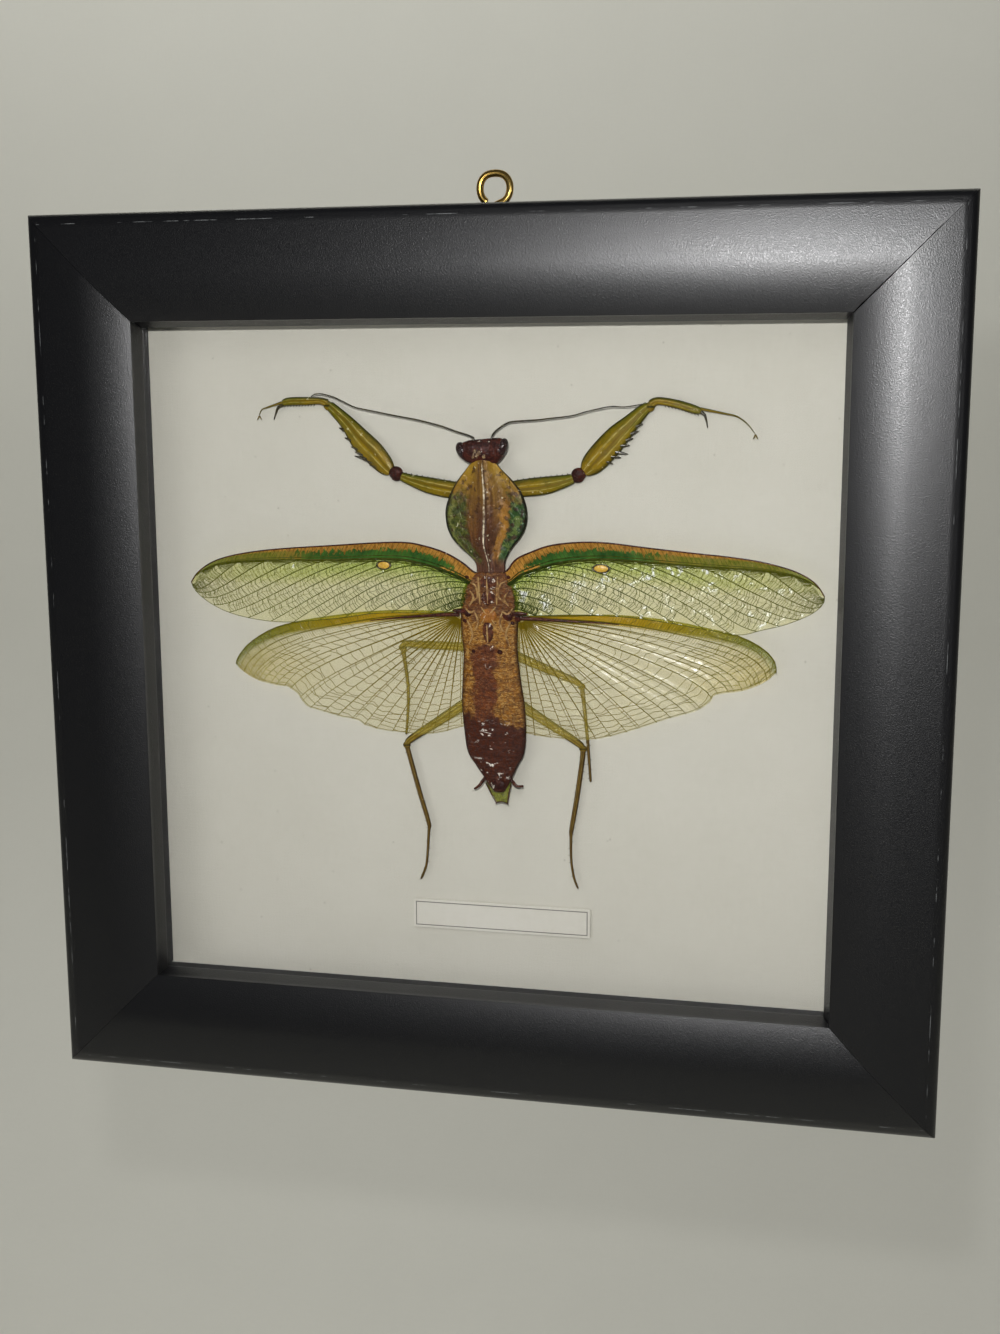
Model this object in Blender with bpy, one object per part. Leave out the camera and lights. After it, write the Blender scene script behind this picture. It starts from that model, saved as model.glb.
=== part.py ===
"""Framed mantis specimen: a spread, dried mantis under glass in a small black box frame.

The wall plane is y = 0 and the front of the frame looks along -Y, with +X to the right and +Z up.
The origin is the centre of the paper that seals the back. Lengths are in millimetres until a mesh
is made, and then in metres.
"""

import math

import bmesh
import bpy

MM = 0.001
GAP = 0.3

# Frame, seen from the front
FRAME_WIDTH = 184.0
FRAME_HEIGHT = 180.0
RAIL_FACE = 21.2
SIGHT_STEP = 1.1
RABBET_WIDTH = 5.5
SHOULDER_INSET = 1.9
CREST_INSET = 7.0

# Frame, front to back, measured forward from the wall plane
CREST = 18.0
SHOULDER_EDGE = 17.5
WIDEST_EDGE = 15.6
LIP = 15.4
SIGHT_EDGE = 13.55
RABBET_FLOOR = 13.1
PAPER_THICKNESS = 0.4
MOULDING_BACK = PAPER_THICKNESS + GAP
PAPER_MARGIN = 2.5
FACE_STEPS = 6

# What lies in the rabbet
GLASS_FRONT = 13.0
GLASS_THICKNESS = 1.1
SPACER_FRONT = GLASS_FRONT - GLASS_THICKNESS - GAP
CARD_FRONT = 7.6
CARD_THICKNESS = 1.5
SPACER_BACK = CARD_FRONT + GAP
SPACER_SETBACK = 0.9
BOARD_FRONT = CARD_FRONT - CARD_THICKNESS - GAP

# Screw eye in the top rail
EYE_X = 1.8
EYE_Y = -5.5
EYE_WIRE = 1.4
EYE_RING_RADIUS = 2.75
EYE_RING_CENTRE = FRAME_HEIGHT / 2 + 3.85
EYE_DEPTH_IN_WOOD = 7.5
EYE_END_ANGLE = 40.0

# Caption slip on the card
LABEL_CENTRE = (3.2, -53.5)
LABEL_SIZE = (37.6, 6.2)
LABEL_THICKNESS = 0.25

# Depth of each layer of the specimen, as y
HEAD_Y = -10.0
BODY_FRONT_Y = -11.3
BODY_BACK_Y = -9.25
SHIELD_RIDGE_Y = -11.4
SHIELD_LOBE_Y = -10.3
SHIELD_BACK_Y = -9.6
FOREWING_Y = -10.75
HINDWING_Y = -9.85
WING_THICKNESS = 0.25
ANTENNA_Y = -10.2
LEG_Y = -8.6

# Head, as (x, lowest z, highest z, half depth) from its left eye to its right one
HEAD_SECTIONS = [
    (-5.1, 43.0, 43.6, 0.3), (-4.6, 42.4, 44.3, 0.9), (-3.6, 41.9, 45.0, 1.25),
    (-2.2, 41.85, 45.4, 1.25), (0.1, 41.9, 45.6, 1.2), (2.4, 41.9, 45.8, 1.25),
    (3.8, 41.9, 45.8, 1.25), (4.7, 42.7, 45.3, 0.9), (5.2, 43.7, 44.5, 0.3),
]

# Shield over the thorax, as (z, left x, right x) from the neck back
SHIELD_SECTIONS = [
    (40.6, -2.5, 3.2), (39.2, -3.6, 4.5), (37.4, -5.0, 6.3), (35.2, -6.3, 8.0), (32.5, -7.3, 9.0),
    (30.4, -7.5, 9.2), (28.2, -7.2, 8.8), (26.3, -6.4, 7.8), (24.7, -5.1, 6.5), (23.2, -3.4, 5.5),
    (21.7, -1.8, 4.8), (20.4, -1.2, 4.7), (19.3, -1.2, 4.7),
]
SHIELD_RIDGE_HALF_WIDTH = 3.4
SHIELD_FRONT_ARCH = 0.9

# Hind thorax and abdomen, as (z, left x, right x)
BODY_SECTIONS = [
    (18.9, -0.9, 4.3), (17.6, -1.9, 5.3), (15.6, -2.6, 5.9), (12.0, -3.6, 6.9), (7.0, -3.7, 7.1),
    (3.0, -3.7, 7.3), (-2.2, -4.1, 7.9), (-7.4, -4.3, 8.7), (-12.6, -3.9, 9.0), (-17.4, -3.2, 8.6),
    (-20.1, -1.6, 7.3), (-22.8, 0.3, 6.1), (-24.4, 1.2, 5.3), (-25.9, 2.6, 4.4),
]
END_PLATE = [(0.6, -24.0), (5.9, -24.0), (5.1, -28.1), (2.9, -28.0)]
CERCI = [
    [(1.0, -22.6), (0.0, -23.6), (-0.8, -24.7), (-1.9, -25.5)],
    [(5.2, -22.4), (6.0, -23.3), (7.1, -24.4), (8.5, -24.3)],
]

# Wings, each edge from the body to the tip
FOREWING_LEFT_LEAD = [
    (-1.7, 19.4), (-3.8, 21.1), (-7.3, 23.0), (-11.8, 24.4), (-15.8, 25.0), (-22.2, 24.8),
    (-31.4, 24.1), (-40.7, 23.4), (-47.8, 22.6), (-53.5, 21.5), (-57.4, 20.1), (-60.4, 18.0),
    (-61.9, 15.9),
]
FOREWING_LEFT_REAR = [
    (-4.3, 12.1), (-8.8, 11.6), (-15.6, 10.9), (-22.5, 10.3), (-29.4, 9.2), (-36.5, 8.4),
    (-41.2, 8.0), (-45.9, 8.2), (-50.6, 8.9), (-54.9, 10.1), (-58.7, 12.1), (-61.2, 14.3),
]
FOREWING_RIGHT_LEAD = [
    (5.2, 19.7), (7.0, 22.0), (10.3, 23.6), (14.0, 24.9), (19.5, 25.6), (25.0, 25.6), (31.7, 24.9),
    (40.7, 24.0), (49.6, 23.2), (56.2, 22.2), (61.8, 20.6), (65.4, 18.5), (67.2, 16.0),
]
FOREWING_RIGHT_REAR = [
    (7.6, 11.5), (10.8, 11.5), (20.5, 11.5), (31.9, 10.7), (45.4, 8.8), (51.2, 8.0), (55.6, 9.1),
    (60.0, 10.3), (64.7, 12.4), (67.0, 14.5),
]
FOREWING_RIBS = [(0.0, 0.1), (0.05, 0.1), (0.1, 0.0), (0.24, 0.0), (0.28, 0.2), (0.32, 0.0), (0.62, 0.1), (1.0, 0.0)]
FOREWING_STATIONS = 16

HINDWING_LEFT_HINGE = (-4.3, 10.4)
HINDWING_LEFT_LEAD = [
    (-4.3, 10.6), (-8.9, 11.0), (-18.0, 11.0), (-24.9, 10.5), (-31.9, 9.5), (-39.0, 8.2),
    (-44.7, 6.5), (-49.6, 3.6), (-52.3, 0.7), (-53.0, -1.1),
]
HINDWING_LEFT_REAR = [
    (-53.0, -1.1), (-51.7, -2.5), (-48.4, -4.4), (-44.1, -5.4), (-41.7, -5.7), (-39.6, -7.1),
    (-37.6, -9.6), (-34.3, -10.6), (-30.1, -11.6), (-26.8, -12.1), (-24.9, -13.2), (-21.6, -14.0),
    (-17.9, -14.3), (-13.8, -14.6), (-9.2, -14.1), (-4.9, -12.8),
]
HINDWING_RIGHT_HINGE = (7.5, 10.0)
HINDWING_RIGHT_LEAD = [
    (7.5, 10.2), (11.6, 10.5), (18.1, 10.9), (25.0, 11.2), (31.8, 11.0), (38.6, 10.3), (45.4, 9.1),
    (50.7, 7.9), (54.3, 6.4), (57.0, 4.5), (58.4, 2.5), (58.5, 0.7),
]
HINDWING_RIGHT_REAR = [
    (58.5, 0.7), (56.3, -1.2), (52.3, -3.0), (47.0, -4.1), (45.7, -5.7), (43.0, -7.5), (37.6, -9.3),
    (31.2, -11.7), (25.2, -13.6), (20.5, -14.3), (13.5, -14.1), (9.7, -13.6),
]
HINDWING_FOLDS = 28
HINDWING_ROOT_SHARE = 0.1
HINDWING_RINGS = 5
PLEAT_HEIGHT = 0.12

# Legs, as (x, z, width, depth) from the body to the last joint
FORELEG_LEFT = [
    (-3.6, 35.2, 3.0, 1.1), (-7.4, 35.6, 3.4, 1.2), (-11.6, 36.4, 3.1, 1.2), (-15.4, 37.5, 2.1, 1.1),
    (-17.2, 38.2, 1.7, 1.1), (-18.8, 38.7, 2.3, 1.2), (-20.1, 40.0, 3.6, 1.3), (-22.5, 42.6, 4.5, 1.3),
    (-25.1, 45.1, 4.4, 1.3), (-28.0, 48.6, 3.0, 1.3), (-30.7, 51.2, 2.2, 1.2), (-32.0, 52.4, 1.8, 1.2),
    (-33.6, 53.0, 1.4, 1.1), (-37.0, 53.0, 1.6, 1.1), (-40.4, 52.9, 1.6, 1.1), (-41.8, 52.5, 1.1, 0.9),
]
FORELEG_RIGHT = [
    (5.0, 35.6, 3.0, 1.1), (8.4, 36.0, 3.4, 1.2), (12.6, 36.5, 3.4, 1.2), (16.5, 37.4, 2.4, 1.1),
    (18.3, 38.0, 1.8, 1.1), (20.1, 38.8, 2.4, 1.2), (21.6, 40.5, 4.1, 1.3), (24.1, 43.2, 4.8, 1.3),
    (26.8, 46.2, 4.4, 1.3), (29.3, 48.7, 3.3, 1.3), (31.6, 51.0, 2.4, 1.2), (33.0, 52.1, 1.8, 1.2),
    (34.6, 52.9, 1.5, 1.1), (38.3, 52.3, 1.6, 1.1), (41.6, 51.3, 1.6, 1.1), (43.0, 50.9, 1.1, 0.9),
]
FORELEG_TARSUS_LEFT = [(-41.2, 52.9), (-45.4, 51.6), (-46.4, 51.0), (-46.7, 50.1)]
FORELEG_TARSUS_RIGHT = [(42.4, 51.5), (49.2, 50.1), (51.1, 49.2), (53.3, 46.6)]
FORELEG_CLAW_LEFT = [(-41.4, 52.4), (-42.6, 51.7), (-43.1, 50.6), (-43.6, 49.2)]
FORELEG_CLAW_RIGHT = [(42.6, 50.9), (43.5, 50.3), (43.9, 49.2), (44.2, 47.7)]
TARSUS_WIDTH = 0.5
CLAW_WIDTH = 0.7
# Spines along the femur, as (base x, base z, tip x, tip z)
FORELEG_SPINES_LEFT = [
    (-28.6, 47.2, -29.8, 47.7), (-27.0, 45.2, -28.7, 45.7), (-25.6, 43.5, -27.4, 43.9),
    (-24.6, 42.3, -26.6, 42.9), (-23.8, 41.4, -26.7, 42.1), (-22.6, 40.8, -24.9, 41.3),
    (-21.6, 39.9, -23.6, 40.3),
]
FORELEG_SPINES_RIGHT = [
    (30.2, 48.0, 31.8, 48.6), (29.3, 46.6, 31.0, 47.2), (28.3, 45.4, 29.9, 45.8),
    (27.2, 44.4, 29.3, 44.4), (26.2, 43.2, 29.0, 42.7), (25.4, 42.3, 27.6, 42.0),
    (24.4, 41.4, 26.0, 40.8),
]
SPINE_BASE = 0.45

MIDLEG_LEFT = [
    (-0.5, 3.6, 1.7, 1.1), (-6.0, 3.8, 1.7, 1.1), (-12.0, 3.9, 1.6, 1.0), (-16.3, 4.0, 1.4, 1.0),
    (-17.1, 3.2, 1.2, 0.9), (-16.7, 0.5, 0.8, 0.7), (-16.1, -4.5, 0.7, 0.7), (-16.1, -9.0, 0.6, 0.6),
    (-16.6, -15.1, 0.5, 0.5),
]
MIDLEG_RIGHT = [
    (3.9, 3.4, 1.9, 1.1), (9.0, 1.3, 1.8, 1.1), (14.0, -0.7, 1.6, 1.0), (18.8, -2.6, 1.3, 1.0),
    (20.0, -3.6, 1.1, 0.9), (20.4, -6.2, 0.8, 0.7), (21.0, -11.5, 0.7, 0.7), (21.5, -17.0, 0.6, 0.6),
    (22.0, -23.3, 0.5, 0.5),
]
HINDLEG_LEFT = [
    (0.4, -5.0, 2.1, 1.1), (-4.9, -8.6, 2.1, 1.1), (-10.0, -12.1, 1.8, 1.1), (-15.6, -15.9, 1.4, 1.0),
    (-16.5, -17.2, 1.1, 0.9), (-15.9, -19.6, 1.0, 0.8), (-13.9, -27.0, 1.0, 0.8), (-12.0, -33.6, 0.9, 0.8),
    (-12.0, -35.4, 0.6, 0.6), (-12.5, -42.0, 0.5, 0.5), (-13.2, -44.5, 0.5, 0.5), (-13.9, -46.0, 0.4, 0.4),
]
HINDLEG_RIGHT = [
    (4.2, -5.6, 2.0, 1.1), (8.7, -8.6, 2.0, 1.1), (14.0, -11.9, 1.7, 1.1), (19.3, -15.2, 1.4, 1.0),
    (20.4, -16.4, 1.1, 0.9), (20.2, -19.0, 1.0, 0.8), (19.2, -26.6, 1.0, 0.8), (18.1, -33.4, 0.9, 0.8),
    (18.0, -35.2, 0.6, 0.6), (18.1, -40.0, 0.5, 0.5), (18.7, -43.6, 0.5, 0.5), (19.6, -46.0, 0.4, 0.4),
]

ANTENNA_LEFT = [
    (-1.9, 46.0), (-5.3, 47.1), (-8.2, 48.1), (-13.0, 49.3), (-17.4, 50.1), (-22.6, 51.1),
    (-25.9, 51.8), (-28.1, 52.8), (-30.3, 53.8), (-32.6, 54.4), (-34.1, 54.4), (-35.0, 53.9),
]
ANTENNA_RIGHT = [
    (2.2, 46.3), (3.2, 47.4), (5.0, 48.6), (6.5, 49.0), (11.1, 49.3), (13.7, 49.6), (17.9, 50.1),
    (20.9, 50.9), (23.1, 51.4), (25.8, 51.9), (28.4, 51.8), (31.7, 52.3),
]
ANTENNA_BASE_WIDTH = 0.55
ANTENNA_TIP_WIDTH = 0.35


# Materials

def material(name, colour, roughness, metallic=0.0, transmission=0.0):
    """Return a Principled material."""
    made = bpy.data.materials.new(name)
    made.use_nodes = True
    shader = made.node_tree.nodes["Principled BSDF"]
    shader.inputs["Base Color"].default_value = (*colour, 1.0)
    shader.inputs["Roughness"].default_value = roughness
    shader.inputs["Metallic"].default_value = metallic
    shader.inputs["Transmission Weight"].default_value = transmission
    return made


# Mesh helpers

def mesh_object(name, bm, finish, smooth_angle=None):
    """Turn a bmesh in millimetres into an object in metres."""
    bmesh.ops.recalc_face_normals(bm, faces=bm.faces)
    bmesh.ops.scale(bm, vec=(MM, MM, MM), verts=bm.verts)
    mesh = bpy.data.meshes.new(name)
    bm.to_mesh(mesh)
    bm.free()
    mesh.materials.append(finish)
    if smooth_angle is not None:
        mesh.shade_smooth()
        mesh.set_sharp_from_angle(angle=math.radians(smooth_angle))
    made = bpy.data.objects.new(name, mesh)
    bpy.context.collection.objects.link(made)
    return made


def add_loft(bm, rings):
    """Skin a row of rings that have the same number of points, and cap both ends."""
    rows = [[bm.verts.new(point) for point in ring] for ring in rings]
    count = len(rows[0])
    for first, second in zip(rows, rows[1:]):
        for i in range(count):
            j = (i + 1) % count
            bm.faces.new((first[i], first[j], second[j], second[i]))
    bm.faces.new(rows[0])
    bm.faces.new(reversed(rows[-1]))


def add_shell(bm, front, back):
    """Close a front and a back grid of points into one solid sheet."""
    layers = [[[bm.verts.new(point) for point in row] for row in grid] for grid in (front, back)]
    rows, columns = len(front), len(front[0])
    for layer in layers:
        for i in range(rows - 1):
            for j in range(columns - 1):
                bm.faces.new((layer[i][j], layer[i + 1][j], layer[i + 1][j + 1], layer[i][j + 1]))
    rim = [(i, 0) for i in range(rows)] + [(rows - 1, j) for j in range(1, columns)]
    rim += [(i, columns - 1) for i in range(rows - 2, -1, -1)] + [(0, j) for j in range(columns - 2, 0, -1)]
    for (i, j), (k, m) in zip(rim, rim[1:] + rim[:1]):
        bm.faces.new((layers[0][i][j], layers[0][k][m], layers[1][k][m], layers[1][i][j]))


def box(name, low, high, finish):
    """Return a plain box between two corners."""
    bm = bmesh.new()
    corners = [(low[0], low[2]), (high[0], low[2]), (high[0], high[2]), (low[0], high[2])]
    add_loft(bm, [[(x, y, z) for x, z in corners] for y in (low[1], high[1])])
    return mesh_object(name, bm, finish)


def curve_point(points, position):
    """Return the point at a fractional index on a Catmull-Rom curve through the points."""
    last = len(points) - 1
    start = min(int(position), last - 1)
    t = position - start
    p0, p1, p2, p3 = (points[max(0, min(last, start + k))] for k in (-1, 0, 1, 2))
    return tuple(
        0.5 * (2 * b + (c - a) * t + (2 * a - 5 * b + 4 * c - d) * t * t + (3 * b - a - 3 * c + d) * t ** 3)
        for a, b, c, d in zip(p0, p1, p2, p3)
    )


def resample(points, count):
    """Return points evenly spaced along the smooth curve through the given ones."""
    fine = [curve_point(points, i / 12) for i in range(12 * (len(points) - 1) + 1)]
    travelled = [0.0]
    for first, second in zip(fine, fine[1:]):
        travelled.append(travelled[-1] + math.dist(first[:2], second[:2]))
    result, k = [], 0
    for i in range(count):
        target = travelled[-1] * i / (count - 1)
        while k < len(fine) - 2 and travelled[k + 1] < target:
            k += 1
        share = (target - travelled[k]) / (travelled[k + 1] - travelled[k])
        result.append(tuple(a + (b - a) * share for a, b in zip(fine[k], fine[k + 1])))
    return result


def add_limb(bm, stations, y, sides=8):
    """Sweep an ellipse along (x, z, width, depth) stations that lie in one upright plane."""
    rings = []
    last = len(stations) - 1
    for i, (x, z, width, depth) in enumerate(stations):
        before, after = stations[max(0, i - 1)], stations[min(last, i + 1)]
        along = math.atan2(after[1] - before[1], after[0] - before[0])
        ring = []
        for k in range(sides):
            turn = 2 * math.pi * k / sides
            across = math.cos(turn) * width / 2
            ring.append((x - math.sin(along) * across, y + math.sin(turn) * depth / 2,
                         z + math.cos(along) * across))
        rings.append(ring)
    add_loft(bm, rings)


def hide_cutter(cutter):
    """Keep a Boolean's operand out of the model."""
    cutter.hide_render = True
    cutter.display_type = 'WIRE'


def combine(target, cutter, operation):
    """Add a live Boolean of one object onto another."""
    modifier = target.modifiers.new(cutter.name, 'BOOLEAN')
    modifier.operation = operation
    modifier.solver = 'EXACT'
    modifier.object = cutter
    hide_cutter(cutter)


# Frame

def moulding_profile():
    """Return the rail's section as (inset from the outer edge, y), from its outer back corner."""
    profile = [(0.0, -MOULDING_BACK), (0.0, -WIDEST_EDGE)]
    shoulder_rise = SHOULDER_EDGE - WIDEST_EDGE
    for i in range(1, 4):
        turn = math.radians(30 * i)
        profile.append((SHOULDER_INSET * (1 - math.cos(turn)), -WIDEST_EDGE - shoulder_rise * math.sin(turn)))
    for i in range(1, FACE_STEPS + 1):
        inset = SHOULDER_INSET + (RAIL_FACE - SHOULDER_INSET) * i / FACE_STEPS
        if inset < CREST_INSET:
            drop = (CREST - SHOULDER_EDGE) * ((CREST_INSET - inset) / (CREST_INSET - SHOULDER_INSET)) ** 2
        else:
            drop = (CREST - LIP) * ((inset - CREST_INSET) / (RAIL_FACE - CREST_INSET)) ** 2
        profile.append((inset, drop - CREST))
    sight = RAIL_FACE + SIGHT_STEP
    profile += [(sight, -SIGHT_EDGE), (sight, -RABBET_FLOOR), (sight - RABBET_WIDTH, -RABBET_FLOOR),
                (sight - RABBET_WIDTH, -MOULDING_BACK)]
    return profile


def rail(name, length, across, place, finish):
    """Return one mitred rail; place turns (along, y, outward) into the rail's own side."""
    bm = bmesh.new()
    mitre_relief = GAP / 2 * math.sqrt(2)
    ends = []
    for side in (-1, 1):
        ends.append([place(side * (length / 2 - inset - mitre_relief), y, across / 2 - inset)
                     for inset, y in moulding_profile()])
    add_loft(bm, ends)
    return mesh_object(name, bm, finish, smooth_angle=25)


def build_frame(black):
    """Return the four rails."""
    sides = {
        "rail_top": (FRAME_WIDTH, FRAME_HEIGHT, lambda u, y, v: (u, y, v)),
        "rail_right": (FRAME_HEIGHT, FRAME_WIDTH, lambda u, y, v: (v, y, -u)),
        "rail_bottom": (FRAME_WIDTH, FRAME_HEIGHT, lambda u, y, v: (-u, y, -v)),
        "rail_left": (FRAME_HEIGHT, FRAME_WIDTH, lambda u, y, v: (-v, y, u)),
    }
    return {name: rail(name, length, across, place, black)
            for name, (length, across, place) in sides.items()}


def build_back(glass, black_card, card, board, paper):
    """Make the glass, the spacers, the mount card, the back board and the paper seal."""
    wall = RAIL_FACE + SIGHT_STEP - RABBET_WIDTH + GAP
    half_width, half_height = FRAME_WIDTH / 2 - wall, FRAME_HEIGHT / 2 - wall
    layers = [
        ("glass", GLASS_FRONT, GLASS_FRONT - GLASS_THICKNESS, glass),
        ("mount_card", CARD_FRONT, CARD_FRONT - CARD_THICKNESS, card),
        ("back_board", BOARD_FRONT, MOULDING_BACK, board),
    ]
    for name, front, back, finish in layers:
        box(name, (-half_width, -front, -half_height), (half_width, -back, half_height), finish)
    inner = RAIL_FACE + SIGHT_STEP - SPACER_SETBACK
    inner_width, inner_height = FRAME_WIDTH / 2 - inner, FRAME_HEIGHT / 2 - inner
    spacers = {
        "spacer_top": (-half_width, inner_height, half_width, half_height),
        "spacer_bottom": (-half_width, -half_height, half_width, -inner_height),
        "spacer_left": (-half_width, GAP - inner_height, -inner_width, inner_height - GAP),
        "spacer_right": (inner_width, GAP - inner_height, half_width, inner_height - GAP),
    }
    for name, (left, low, right, high) in spacers.items():
        box(name, (left, -SPACER_FRONT, low), (right, -SPACER_BACK, high), black_card)
    paper_x, paper_z = FRAME_WIDTH / 2 - PAPER_MARGIN, FRAME_HEIGHT / 2 - PAPER_MARGIN
    box("backing_paper", (-paper_x, -PAPER_THICKNESS, -paper_z), (paper_x, 0.0, paper_z), paper)


def build_screw_eye(rail_top, brass):
    """Make the screw eye and bore its hole in the top rail."""
    top = FRAME_HEIGHT / 2
    path = [(EYE_X, top - EYE_DEPTH_IN_WOOD + i * EYE_DEPTH_IN_WOOD / 3) for i in range(4)]
    path.append((EYE_X + 0.15, top + 0.55))
    start, stop = math.radians(-72), math.radians(270 - EYE_END_ANGLE)
    for i in range(25):
        turn = start + (stop - start) * i / 24
        path.append((EYE_X + EYE_RING_RADIUS * math.cos(turn), EYE_RING_CENTRE + EYE_RING_RADIUS * math.sin(turn)))
    bm = bmesh.new()
    add_limb(bm, [(x, z, EYE_WIRE, EYE_WIRE) for x, z in path], EYE_Y, sides=10)
    mesh_object("screw_eye", bm, brass, smooth_angle=60)

    hole_radius = EYE_WIRE / 2 + GAP
    bm = bmesh.new()
    hole = [(EYE_X + hole_radius * math.cos(i * math.pi / 8), EYE_Y + hole_radius * math.sin(i * math.pi / 8))
            for i in range(16)]
    add_loft(bm, [[(x, y, z) for x, y in hole] for z in (top - EYE_DEPTH_IN_WOOD - 1.0, top + 1.0)])
    combine(rail_top, mesh_object("screw_hole_cutter", bm, brass), 'DIFFERENCE')


def build_label(paper):
    """Make the bare caption slip that lies on the card."""
    (x, z), (width, height) = LABEL_CENTRE, LABEL_SIZE
    back = -CARD_FRONT - GAP
    box("label_slip", (x - width / 2, back - LABEL_THICKNESS, z - height / 2),
        (x + width / 2, back, z + height / 2), paper)


# Specimen

def build_head(chitin):
    """Make the head, from one eye to the other."""
    rings = []
    for x, low, high, half_depth in HEAD_SECTIONS:
        ring = []
        for k in range(14):
            turn = 2 * math.pi * k / 14
            ring.append((x, HEAD_Y + half_depth * math.sin(turn), (low + high) / 2 + (high - low) / 2 * math.cos(turn)))
        rings.append(ring)
    bm = bmesh.new()
    add_loft(bm, rings)
    mesh_object("mantis_head", bm, chitin, smooth_angle=60)


def build_shield(chitin):
    """Make the shield of the front thorax: a raised ridge between two thin lobes."""
    columns = [-1.0, -0.85, -0.65, -0.45, -0.25, 0.0, 0.25, 0.45, 0.65, 0.85, 1.0]
    front, back = [], []
    for row, (z, left, right) in enumerate(SHIELD_SECTIONS):
        centre, half = (left + right) / 2, (right - left) / 2
        arch = SHIELD_FRONT_ARCH * max(0.0, 1 - row / 2)
        front_row, back_row = [], []
        for t in columns:
            rise = (1 + math.cos(math.pi * min(1.0, abs(t) * half / SHIELD_RIDGE_HALF_WIDTH))) / 2
            x, height = centre + t * half, z + arch * (1 - t * t)
            y = SHIELD_LOBE_Y + (SHIELD_RIDGE_Y - SHIELD_LOBE_Y) * rise * (1 - 0.25 * t * t)
            front_row.append((x, y, height))
            back_row.append((x, SHIELD_LOBE_Y + 0.4 + (SHIELD_BACK_Y - SHIELD_LOBE_Y - 0.4) * rise, height))
        front.append(front_row)
        back.append(back_row)
    bm = bmesh.new()
    add_shell(bm, front, back)
    mesh_object("mantis_shield", bm, chitin, smooth_angle=60)


def build_body(chitin):
    """Make the hind thorax and abdomen in one, with the end plate and the two cerci."""
    rings = []
    sides = 18
    rows = 24
    middle = (BODY_FRONT_Y + BODY_BACK_Y) / 2
    half_depth = (BODY_BACK_Y - BODY_FRONT_Y) / 2
    for z, left, right in [curve_point(BODY_SECTIONS, (len(BODY_SECTIONS) - 1) * i / rows) for i in range(rows + 1)]:
        centre, half = (left + right) / 2, (right - left) / 2
        depth = half_depth * min(1.0, 0.35 + half / 5.0)
        rings.append([(centre + half * math.cos(2 * math.pi * k / sides),
                       middle + depth * math.sin(2 * math.pi * k / sides), z) for k in range(sides)])
    bm = bmesh.new()
    add_loft(bm, rings)
    body = mesh_object("mantis_body", bm, chitin, smooth_angle=60)

    bm = bmesh.new()
    add_loft(bm, [[(x, y, z) for x, z in END_PLATE] for y in (middle - 0.1, middle + 0.3)])
    combine(body, mesh_object("end_plate_form", bm, chitin), 'UNION')
    for side, path in zip(("left", "right"), CERCI):
        bm = bmesh.new()
        add_limb(bm, [(x, z, 0.5, 0.5) for x, z in path], middle, sides=6)
        combine(body, mesh_object("cercus_form_" + side, bm, chitin), 'UNION')


def build_forewing(name, lead, rear, membrane):
    """Make a leathery forewing with its raised main veins."""
    edges = [resample(lead, FOREWING_STATIONS), resample(rear, FOREWING_STATIONS)]
    front, back = [], []
    for (lead_x, lead_z), (rear_x, rear_z) in zip(*edges):
        front_row, back_row = [], []
        for share, rib in FOREWING_RIBS:
            x, z = lead_x + (rear_x - lead_x) * share, lead_z + (rear_z - lead_z) * share
            front_row.append((x, FOREWING_Y - rib, z))
            back_row.append((x, FOREWING_Y + WING_THICKNESS, z))
        front.append(front_row)
        back.append(back_row)
    bm = bmesh.new()
    add_shell(bm, front, back)
    mesh_object(name, bm, membrane)


def build_hindwing(name, hinge, lead, rear, membrane):
    """Make a hindwing as a pleated fan that opens from its hinge."""
    lead_edge = resample(lead, HINDWING_RINGS * 4 + 1)
    ends = resample(rear, HINDWING_FOLDS + 1)
    front, back = [], []
    for fold, end in enumerate(ends):
        stiffness = (1 - fold / HINDWING_FOLDS) ** 4
        front_row, back_row = [], []
        for ring in range(HINDWING_RINGS + 1):
            share = HINDWING_ROOT_SHARE + (1 - HINDWING_ROOT_SHARE) * ring / HINDWING_RINGS
            on_lead = curve_point(lead_edge, share * (len(lead_edge) - 1))
            straight = [hinge[k] + (lead[-1][k] - hinge[k]) * share for k in (0, 1)]
            x, z = (hinge[k] + (end[k] - hinge[k]) * share + (on_lead[k] - straight[k]) * stiffness
                    for k in (0, 1))
            y = HINDWING_Y + PLEAT_HEIGHT * share * (-1) ** fold
            front_row.append((x, y, z))
            back_row.append((x, y + WING_THICKNESS, z))
        front.append(front_row)
        back.append(back_row)
    bm = bmesh.new()
    add_shell(bm, front, back)
    mesh_object(name, bm, membrane)


def build_foreleg(name, stations, tarsus, claw, spines, chitin):
    """Make a grasping foreleg with its spines, its claw and its tarsus."""
    bm = bmesh.new()
    add_limb(bm, stations, LEG_Y)
    leg = mesh_object(name, bm, chitin, smooth_angle=60)
    bm = bmesh.new()
    for base_x, base_z, tip_x, tip_z in spines:
        add_limb(bm, [(base_x, base_z, SPINE_BASE, SPINE_BASE), (tip_x, tip_z, 0.12, 0.12)], LEG_Y, sides=4)
    combine(leg, mesh_object(name + "_spine_forms", bm, chitin), 'UNION')
    for part, path, width in (("claw", claw, CLAW_WIDTH), ("tarsus", tarsus, TARSUS_WIDTH)):
        bm = bmesh.new()
        taper = (len(path) - 1) * 2
        widths = [width * (1 - i / taper) for i in range(len(path))]
        add_limb(bm, [(x, z, w, w) for (x, z), w in zip(path, widths)], LEG_Y, sides=6)
        combine(leg, mesh_object(name + "_" + part + "_form", bm, chitin), 'UNION')


def build_leg(name, stations, chitin):
    """Make a plain walking leg."""
    bm = bmesh.new()
    add_limb(bm, stations, LEG_Y)
    mesh_object(name, bm, chitin, smooth_angle=60)


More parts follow.
